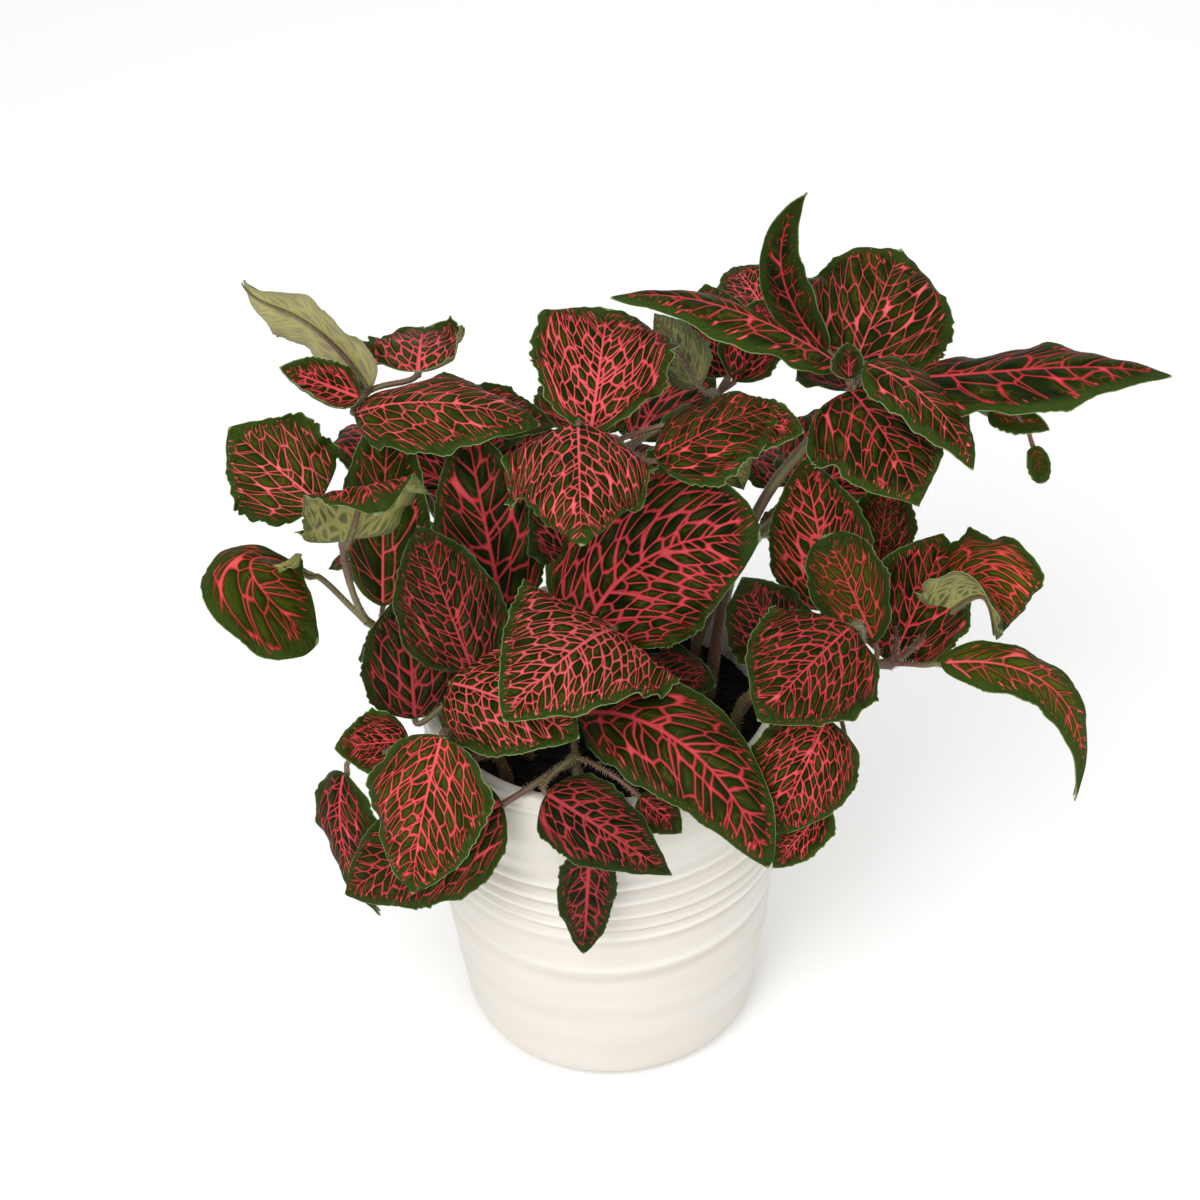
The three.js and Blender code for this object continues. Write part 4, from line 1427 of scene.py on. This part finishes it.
                    polygons.extend([index + len(points) * len(spike) for index in face] for face in faces)
                    points.append(spike @ shape.T + base)
        Workbench.fill(piece, points, polygons, material)
        Workbench.settle(piece, "leaf", ())


# The last number of each look is painted shade: above 0 the leaf is darkened towards near-black.
SHOOTS = (
    Shoot(
        "upper_left",
        2,
        ((-28, 18, 124), (-46, 34, 170), (-65, 47, 203), (-77, 47, 230), (-80, 46, 240)),
        (
            Leaf((-75, 46, 237), (-119, 56, 267), 26, (90, 25), (25, 35),
                 look=(0.05, 0.3, -0.75), net=1.1, cup=-20, swing=-15, ruffle=0.16, curl=70),
            Leaf((-58.8, 50, 240), (-58.3, 84, 237), 37, (-90, 72), (20, 10),
                 look=(0.055, 0.2, -0.4), net=1.25, cup=-10, wave=0.2, roll=(15, 105),
                 shape=(0.35, 0.45)),
            Leaf((-78, 38, 238), (-103, 34, 253), 18, (-90, 45), (0, 20),
                 look=(0.065, 0.1, 0.1), wave=0.1, curl=20, roll=(110, 0)),
            Leaf((-80, 38, 232), (-18, 22, 235), 36, (-90, 70), (32, 35),
                 look=(0.032, 0.1, -0.6), net=0.78, cup=-50, ruffle=0.14, wave=0.3),
            Leaf((-48, 52, 226), (-14, 58, 211), 20, (-90, 60), (10, 20),
                 look=(0.062, 0.1, 0.2), cup=-10, wave=0.4),
            Leaf((-72, 49, 207), (-86, 86, 196), 30, (120, 70), (10, 30),
                 look=(0.056, 0, 0.1), cup=-20, wave=0.4),
        ),
    ),
    Shoot(
        "left",
        1.9,
        ((-38, 2, 124), (-44, 2, 142), (-60, 1, 155), (-79, 0, 173)),
        (
            Leaf((-75, 18, 166), (-68, 46, 233), 32, (-100, 25), (10, 20),
                 look=(0.022, 0, -0.56), net=1.2, cup=-15, fold=5, wave=0.6),
            Leaf((-93, 18, 210), (-121, 28, 234), 40, (-100, 40), (0, 15),
                 look=(0.03, 0.1, -1), net=1.3, cup=-10, ruffle=0.14, wave=0.1),
            Leaf((-84, 8, 201), (-70, -12, 225), 42, (110, 45), (15, 90),
                 look=(0.06, 0.2, 0.1), net=1.1, cup=-10, reach=1.9, wave=0.7, shape=(0.4, 0.6)),
            Leaf((-96.4, 12, 184.4), (-94.2, -14, 175.5), 38, (-90, 90), (82, 80),
                 look=(0.026, 0.4, 0), net=1.3, cup=-10, swing=45, reach=3.9, wave=0.5,
                 shape=(1.5, 0.6)),
        ),
    ),
    Shoot(
        "middle_left",
        2,
        ((-25, -18, 124), (-36, -22, 145), (-43, -23, 160)),
        (
            Leaf((-33, 10, 166), (-43, 38, 226), 38, (-90, 30), (10, 15),
                 look=(0.036, 0, 0.27), net=1.25, cup=-15, wave=0.2),
            Leaf((-43, -24, 170), (-59, 2, 210), 37, (-90, 35), (5, 15),
                 look=(0.043, 0.1, 0.47), net=0.82, cup=-10, ruffle=0.08, wave=0.6),
            Leaf((-63, -28, 153), (-64, -2, 187), 35, (-90, 30), (0, 15),
                 look=(0.044, 0, 0.5), net=1.2, wave=0.8),
            Leaf((-50, -25, 165), (-8, -60, 169), 41, (-100, 60), (25, 30),
                 look=(0.047, 0, -0.65), net=0.74, cup=-10, wave=0.1),
        ),
    ),
    Shoot(
        "middle",
        2,
        ((-2, -5, 124), (-5, -6, 145), (-4, -4, 166)),
        (
            Leaf((4, -17, 179), (-31, -67, 183), 60, (-90, 60), (35, 40),
                 look=(0.049, 0, -0.7), net=0.72, cup=-8, ruffle=0.08, wave=0.3, shape=(0.16, 0.8)),
            Leaf((-7, -2, 164), (54, 4, 200), 60, (-90, 42), (10, 20),
                 look=(0.047, 0, 0.14), net=0.84, cup=-15, fold=5, swing=-42, ruffle=0.08,
                 wave=0.4, shape=(0.5, 0.6)),
            Leaf((-9, 14, 182), (-20, 26, 207), 20, (-90, 30), (5, 15),
                 look=(0.056, 0, 0.6), net=0.95, wave=0.5),
            Leaf((0, 14, 168), (-10, 24, 205), 24, (-90, 30), (5, 15), look=(0.06, 0, 0.5), wave=0.5),
            Leaf((8, -2, 146), (38, -20, 156), 28, (-90, 70), (10, 20), look=(0.064, 0, 0.6), wave=0.4),
        ),
    ),
    Shoot(
        "upper_middle",
        2.1,
        ((10, 22, 124), (13, 37, 165), (12, 36, 200), (8, 20, 228), (4, 8, 238)),
        (
            Leaf((14, 34, 190), (42, 36, 214), 24, (-90, 40), (5, 15), look=(0.06, 0, 0.2), wave=0.5),
            Leaf((22, 30, 205), (34, 20, 228), 22, (-90, 20), (5, 15), look=(0.062, 0, 0.1), wave=0.5),
            Leaf((-1, 8, 241), (6, 48, 263), 47, (-90, 50), (0, 20),
                 look=(0.058, 0, -0.3), net=0.8, cup=-10, ruffle=0.17, wave=0.5, shape=(0.7, 0.38)),
            Leaf((-5, 4, 246), (-5, -38, 229), 57, (-90, 60), (25, 45),
                 look=(0.041, 0, -0.4), net=0.82, cup=-60, ruffle=0.17, wave=0.6, shape=(0.25, 0.75)),
            Leaf((20, 4, 232), (62, 17, 243), 35, (-90, 70), (15, 30),
                 look=(0.024, 0.1, 0.04), net=0.85, cup=-40, ruffle=0.14, wave=0.8),
            Leaf((46, 16, 239), (68, 8, 238), 18, (-60, 40), (10, 20), look=(0.06, 0, 0.1), wave=0.1),
            Leaf((38, 30, 230), (50, 26, 204), 20, (100, 0), (10, 20), look=(0.056, 0.2, 0), wave=0.1),
        ),
    ),
    Shoot(
        "behind_middle",
        1.9,
        ((25, 30, 124), (34, 46, 175), (43, 59, 221)),
        (
            Leaf((36, 45, 234), (22, 66, 250), 18, (100, 10), (10, 30),
                 look=(0.045, 0.3, 0.3), wave=0.7),
            Leaf((46.8, 60, 228), (40.3, 86, 249.3), 31, (-90, 40), (0, 20),
                 look=(0.064, 0, 0.15), net=0.85, cup=-20, wave=0.2),
            Leaf((49, 60, 226), (65, 88, 241), 25, (-90, 40), (0, 20),
                 look=(0.062, 0, 0.15), net=0.85, fold=25, wave=0.3),
            Leaf((62, 86, 238), (52, 114, 240), 26, (-90, 50), (0, 20),
                 look=(0.055, 0, -0.42), net=0.9, wave=0.4),
        ),
    ),
    Shoot(
        "upper_right",
        2.2,
        ((37, 9, 124), (42, 14, 160), (49, 18, 186), (62, 28, 207), (84, 36, 230), (90, 40, 240)),
        (
            Leaf((88, 45, 239), (107, 83, 262), 55, (-90, 50), (0, 20),
                 look=(0.024, 0, -0.45), net=1.15, cup=-20, ruffle=0.13, wave=0.5, shape=(0.5, 0.7)),
            Leaf((79, 48, 244), (72, 50, 304), 17, (-112, 20), (-10, -10),
                 look=(0.026, 0, 0.3), swing=-62, wave=0.6, curl=15, shape=(0.45, 1.0)),
            Leaf((82, 38, 245), (7, 34, 275), 24, (-90, 80), (20, 35),
                 look=(0.027, 0, -0.25), cup=-60, wave=0.7),
            Leaf((86, 34, 237), (104, -10, 220), 48, (-90, 60), (25, 45),
                 look=(0.026, 0, -0.13), net=1.15, cup=-30, ruffle=0.14, wave=0.8, shape=(0.45, 0.95)),
            Leaf((89.8, 27, 251.5), (120.8, -8, 232), 25, (-60, 75), (25, 35),
                 look=(0.025, 0, -0.56), net=1.1, cup=-30, swing=-12, wave=0.1),
            Leaf((103, 30, 244), (184, 4, 257), 33, (-90, 75), (15, 38),
                 look=(0.024, 0, 0.07), net=1.15, cup=-40, swing=15, ruffle=0.13, wave=0.2,
                 shape=(0.5, 0.95)),
            Leaf((132, 30, 229), (151, 22, 226.5), 12, (-90, 60), (10, 30),
                 look=(0.02, 1, 0), wave=0.3, roll=(100, 0)),
            Leaf((146, 20, 221.5), (149.4, 16, 209.5), 8, (-90, 30), (10, 20),
                 look=(0.015, 1, 0.15), wave=0.3, shape=(0.4, 0.45)),
            Leaf((84, 24, 247.5), (84, 33, 256), 11, (-90, 50), (0, 20),
                 look=(0.05, 0, 0.4), cup=20, wave=0.4),
            Leaf((87, 42, 232), (80, 86, 226), 30, (90, 70), (10, 30),
                 look=(0.05, 0, 0.3), cup=-20, wave=0.2),
        ),
    ),
    Shoot(
        "right",
        2.2,
        ((44, -12, 124), (48, -13, 142), (62, -14, 155), (80, -15, 159), (97, -15, 159)),
        (
            Leaf((80, 8, 165), (71, 34, 210), 37, (-90, 30), (5, 20),
                 look=(0.054, 0.15, -0.09), net=0.9, cup=-20, wave=0.5),
            Leaf((97, 25, 173), (102, 45, 193), 24, (-90, 30), (5, 20),
                 look=(0.034, 0.2, 0.31), wave=0.6),
            Leaf((92, -12, 166), (76, 2, 201), 26, (-90, 30), (5, 20),
                 look=(0.046, 0.95, 0.39), wave=0.7, shape=(0.6, 0.45)),
            Leaf((99, -5, 152), (119, 25, 183), 39, (-80, 40), (15, 30),
                 look=(0.033, 0, 0), cup=-10, wave=0.8),
            Leaf((118.2, 6, 164.5), (134, -6, 161.3), 46, (0, 90), (65, 75),
                 look=(0.055, 0.8, 0), cup=-25, fold=55, reach=3.2, wave=0.9),
            Leaf((113, -22, 164), (156.5, -48, 124.5), 21, (-60, 75), (55, 55),
                 look=(0.024, 0.75, -0.47), net=0.95, cup=-20, swing=-25, reach=1.5, wave=0.1,
                 shape=(0.5, 1.1)),
            Leaf((62, -8, 158), (48, 0, 186), 30, (-90, 30), (5, 20), look=(0.047, 0, 0.6), wave=0.2),
            Leaf((81, -30, 187), (49, -64, 177), 46, (-90, 55), (20, 35),
                 look=(0.043, 0.1, 0.21), net=0.8, cup=-20, ruffle=0.08, wave=0.2),
            Leaf((72, -50, 165), (54, -70, 134), 36, (-90, 45), (20, 25),
                 look=(0.048, 0.1, 0.12), net=0.74, cup=-20, ruffle=0.08, wave=0.3),
            Leaf((72, -60, 137), (54, -71, 120), 17, (-90, 45), (10, 20),
                 look=(0.06, 0, 0.05), net=0.74, wave=0.4),
        ),
    ),
    Shoot(
        "front",
        2,
        ((-8, -38, 124), (-10, -48, 151)),
        (
            Leaf((-8, -30, 153.5), (49, -77, 129), 38, (-90, 60), (55, 62),
                 look=(0.039, 0.15, 0.23), net=0.9, cup=-25, swing=-18, reach=1.35,
                 ruffle=0.08, wave=0.5, curl=45, shape=(0.5, 0.75)),
            Leaf((-19, -62, 147.5), (20, -86, 132.5), 29, (-90, 50), (10, 20),
                 look=(0.058, 0, 0.5), net=0.85, cup=-20, wave=0.6, shape=(0.4, 1.0)),
            Leaf((-6, -77, 134), (-9, -76, 91), 20, (-90, 20), (10, 10),
                 look=(0.056, 0, 0.52), net=1.1, cup=-20, wave=0.7, curl=20, shape=(0.25, 0.6)),
            Leaf((11, -64, 147), (24, -70, 136), 14, (-90, 50), (0, 10),
                 look=(0.06, 0, 0.35), wave=0.8),
            Leaf((-34, -60, 142), (-88, -62, 106), 42, (-110, 45), (20, 20),
                 look=(0.042, 0.1, 0.23), net=0.74, cup=-20, wave=0.2),
        ),
    ),
    Shoot(
        "front_left",
        1.9,
        ((-32, -34, 124), (-36, -37, 143), (-45, -45, 149), (-52, -50, 154)),
        (
            Leaf((-52, -57, 169), (-64, -76, 119), 42, (-110, 45), (15, 20),
                 look=(0.042, 0.2, -0.1), net=0.8, cup=-20, wave=0.1),
            Leaf((-88, -33, 134), (-79, -50, 84), 27, (-140, 30), (20, 20),
                 look=(0.042, 0, 0.21), net=0.8, cup=-20, swing=18, wave=0.3, shape=(0.5, 1.1)),
            Leaf((-65, -36, 150), (-89, -40, 151), 22, (-90, 50), (10, 20),
                 look=(0.056, 0, 0.02), net=0.75, wave=0.4),
        ),
    ),
    Shoot(
        "back_left",
        1.9,
        ((-20, 32, 124), (-26, 42, 145), (-36, 60, 163), (-45, 76, 182)),
        (
            Leaf((-50, 80, 172), (-94, 90, 182), 34, (-120, 70), (10, 30),
                 look=(0.05, 0, 0.1), cup=-10, wave=0.1),
            Leaf((-40, 88, 182), (-45, 130, 182), 38, (-90, 80), (20, 40),
                 look=(0.046, 0, 0.05), cup=-20, wave=0.3),
            Leaf((-55, 65, 160), (-98, 62, 150), 34, (180, 70), (20, 40),
                 look=(0.052, 0, 0.15), cup=-20, wave=0.5),
            Leaf((-40, 80, 176), (-12, 106, 178), 32, (90, 80), (10, 30),
                 look=(0.05, 0, 0.1), cup=-20, wave=0.8),
            Leaf((-47, 73, 172), (-86, 112, 160), 34, (120, 60), (15, 30),
                 look=(0.055, 0, 0.2), cup=-20, wave=0.9),
        ),
    ),
    Shoot(
        "back",
        1.9,
        ((5, 38, 124), (5, 46, 142), (5, 66, 162), (5, 84, 182)),
        (
            Leaf((0, 90, 187), (-5, 140, 180), 40, (90, 70), (20, 40),
                 look=(0.045, 0, 0), cup=-20, wave=0.2),
            Leaf((15, 88, 185), (45, 130, 190), 38, (90, 70), (20, 40),
                 look=(0.052, 0, 0.3), cup=-20, wave=0.4),
            Leaf((5, 80, 160), (10, 125, 140), 36, (90, 60), (20, 40),
                 look=(0.05, 0, 0.1), cup=-20, wave=0.4),
            Leaf((2, 80, 172), (-36, 112, 150), 34, (120, 60), (15, 35),
                 look=(0.055, 0, 0.2), cup=-20, wave=0.5),
            Leaf((8, 80, 174), (44, 108, 164), 34, (60, 60), (15, 35),
                 look=(0.05, 0, 0.1), cup=-20, wave=0.3),
        ),
    ),
    Shoot(
        "back_right",
        1.9,
        ((32, 28, 124), (38, 34, 144), (54, 50, 162), (72, 65, 172)),
        (
            Leaf((80, 68, 175), (128, 85, 185), 38, (0, 70), (20, 40),
                 look=(0.048, 0, 0), cup=-20, wave=0.6),
            Leaf((70, 80, 168), (72, 122, 158), 38, (90, 70), (20, 40),
                 look=(0.046, 0, 0.1), cup=-20, wave=0.8),
            Leaf((80, 60, 155), (120, 60, 140), 36, (0, 70), (20, 40),
                 look=(0.052, 0, 0.1), cup=-20, wave=0.9),
            Leaf((73, 69, 174), (100, 112, 184), 34, (60, 70), (10, 30),
                 look=(0.05, 0, 0.2), cup=-20, wave=0.1),
            Leaf((62, 58, 162), (98, 86, 146), 32, (45, 60), (15, 30),
                 look=(0.055, 0, 0.15), cup=-20, wave=0.6),
        ),
    ),
    Shoot(
        "low_left",
        1.8,
        ((-40, 18, 124), (-45, 21, 143), (-53, 25, 152)),
        (
            Leaf((-64, 24, 149), (-86, 44, 128), 30, (180, 60), (15, 30),
                 look=(0.05, 0, 0.1), cup=-20, wave=0.9),
            Leaf((-58, 34, 152), (-70, 72, 142), 30, (120, 70), (15, 30),
                 look=(0.055, 0, 0.15), cup=-20, wave=0.9),
        ),
    ),
)


# ---------------------------------------------------------------------------- studio


@dataclass(frozen=True)
class Lamp:
    """A square soft light: its place and size in metres and its power in watts."""

    name: str
    place: Point
    size: float
    power: float


@dataclass
class Studio:
    """The floor, the lights and the camera, in metres and degrees."""

    floor_size: float = 8.0
    floor_drop: float = 0.0002
    camera_place: Point = (0.00017, -0.6381, 0.6612)
    camera_pitch: float = 37.1
    camera_roll: float = -1.89
    focal_length: float = 71.28
    sensor_width: float = 36.0
    view_range: Pair = (0.01, 30.0)
    sky: float = 0.8
    aim: Point = (0.0, 0.0, 0.18)
    lamps: tuple[Lamp, ...] = (
        Lamp("key", (-0.45, -0.85, 1.15), 0.7, 9.0),
        Lamp("fill", (0.9, -0.6, 0.7), 0.9, 2.5),
        Lamp("front", (-0.4, -1.2, 0.35), 0.8, 5.0),
        Lamp("back", (0.2, 1.1, 1.1), 1.0, 2.0),
    )

    def build(self) -> None:
        """Makes the whole studio."""
        self.build_floor()
        self.build_lights()
        self.build_camera()

    def build_floor(self) -> None:
        """Lays the floor."""
        Workbench.clear()
        bpy.ops.mesh.primitive_plane_add(size=self.floor_size, location=(0.0, 0.0, -self.floor_drop))
        floor = Workbench.take("studio_floor")
        floor.data.materials.append(FloorFinish().build())

    def build_lights(self) -> None:
        """Hangs the soft lights and sets the pale surroundings."""
        for lamp in self.lamps:
            Workbench.clear()
            bpy.ops.object.light_add(type="AREA", location=lamp.place)
            light = bpy.context.object
            light.name = f"light_{lamp.name}"
            light.data.size = lamp.size
            light.data.energy = lamp.power
            way = Vector(self.aim) - Vector(lamp.place)
            light.rotation_euler = way.to_track_quat("-Z", "Y").to_euler()
        world = bpy.data.worlds.new("studio")
        world.use_nodes = True
        background = world.node_tree.nodes["Background"]
        background.inputs["Color"].default_value = (1.0, 1.0, 1.0, 1.0)
        background.inputs["Strength"].default_value = self.sky
        bpy.context.scene.world = world
        bpy.context.scene.view_settings.view_transform = "Standard"

    def build_camera(self) -> None:
        """Sets the camera where the photograph was taken from."""
        Workbench.clear()
        bpy.ops.object.camera_add(location=self.camera_place)
        camera = bpy.context.object
        camera.name = "camera"
        tilt = Matrix.Rotation(math.radians(90.0 - self.camera_pitch), 3, "X")
        roll = Matrix.Rotation(math.radians(self.camera_roll), 3, "Z")
        camera.rotation_euler = (tilt @ roll).to_euler()
        camera.data.sensor_width = self.sensor_width
        camera.data.lens = self.focal_length
        camera.data.clip_start, camera.data.clip_end = self.view_range
        bpy.context.scene.camera = camera


def main() -> None:
    """Builds the pot, the soil, the shoots and the studio, in this order."""
    logging.basicConfig(level=logging.INFO, format="%(name)s %(message)s")
    pot = Pot()
    pot.build(GlazeFinish().build())
    Soil().build(pot, SoilFinish().build())
    finish = LeafFinish()
    maker = LeafMaker(BladeSizes(), finish.build(Side.UPPER), finish.build(Side.UNDER))
    stalk, hair = StalkFinish().build(), HairFinish().build()
    for number, shoot in enumerate(SHOOTS):
        shoot.build(number, maker, stalk, hair)
    Studio().build()


if __name__ == "__main__":
    main()
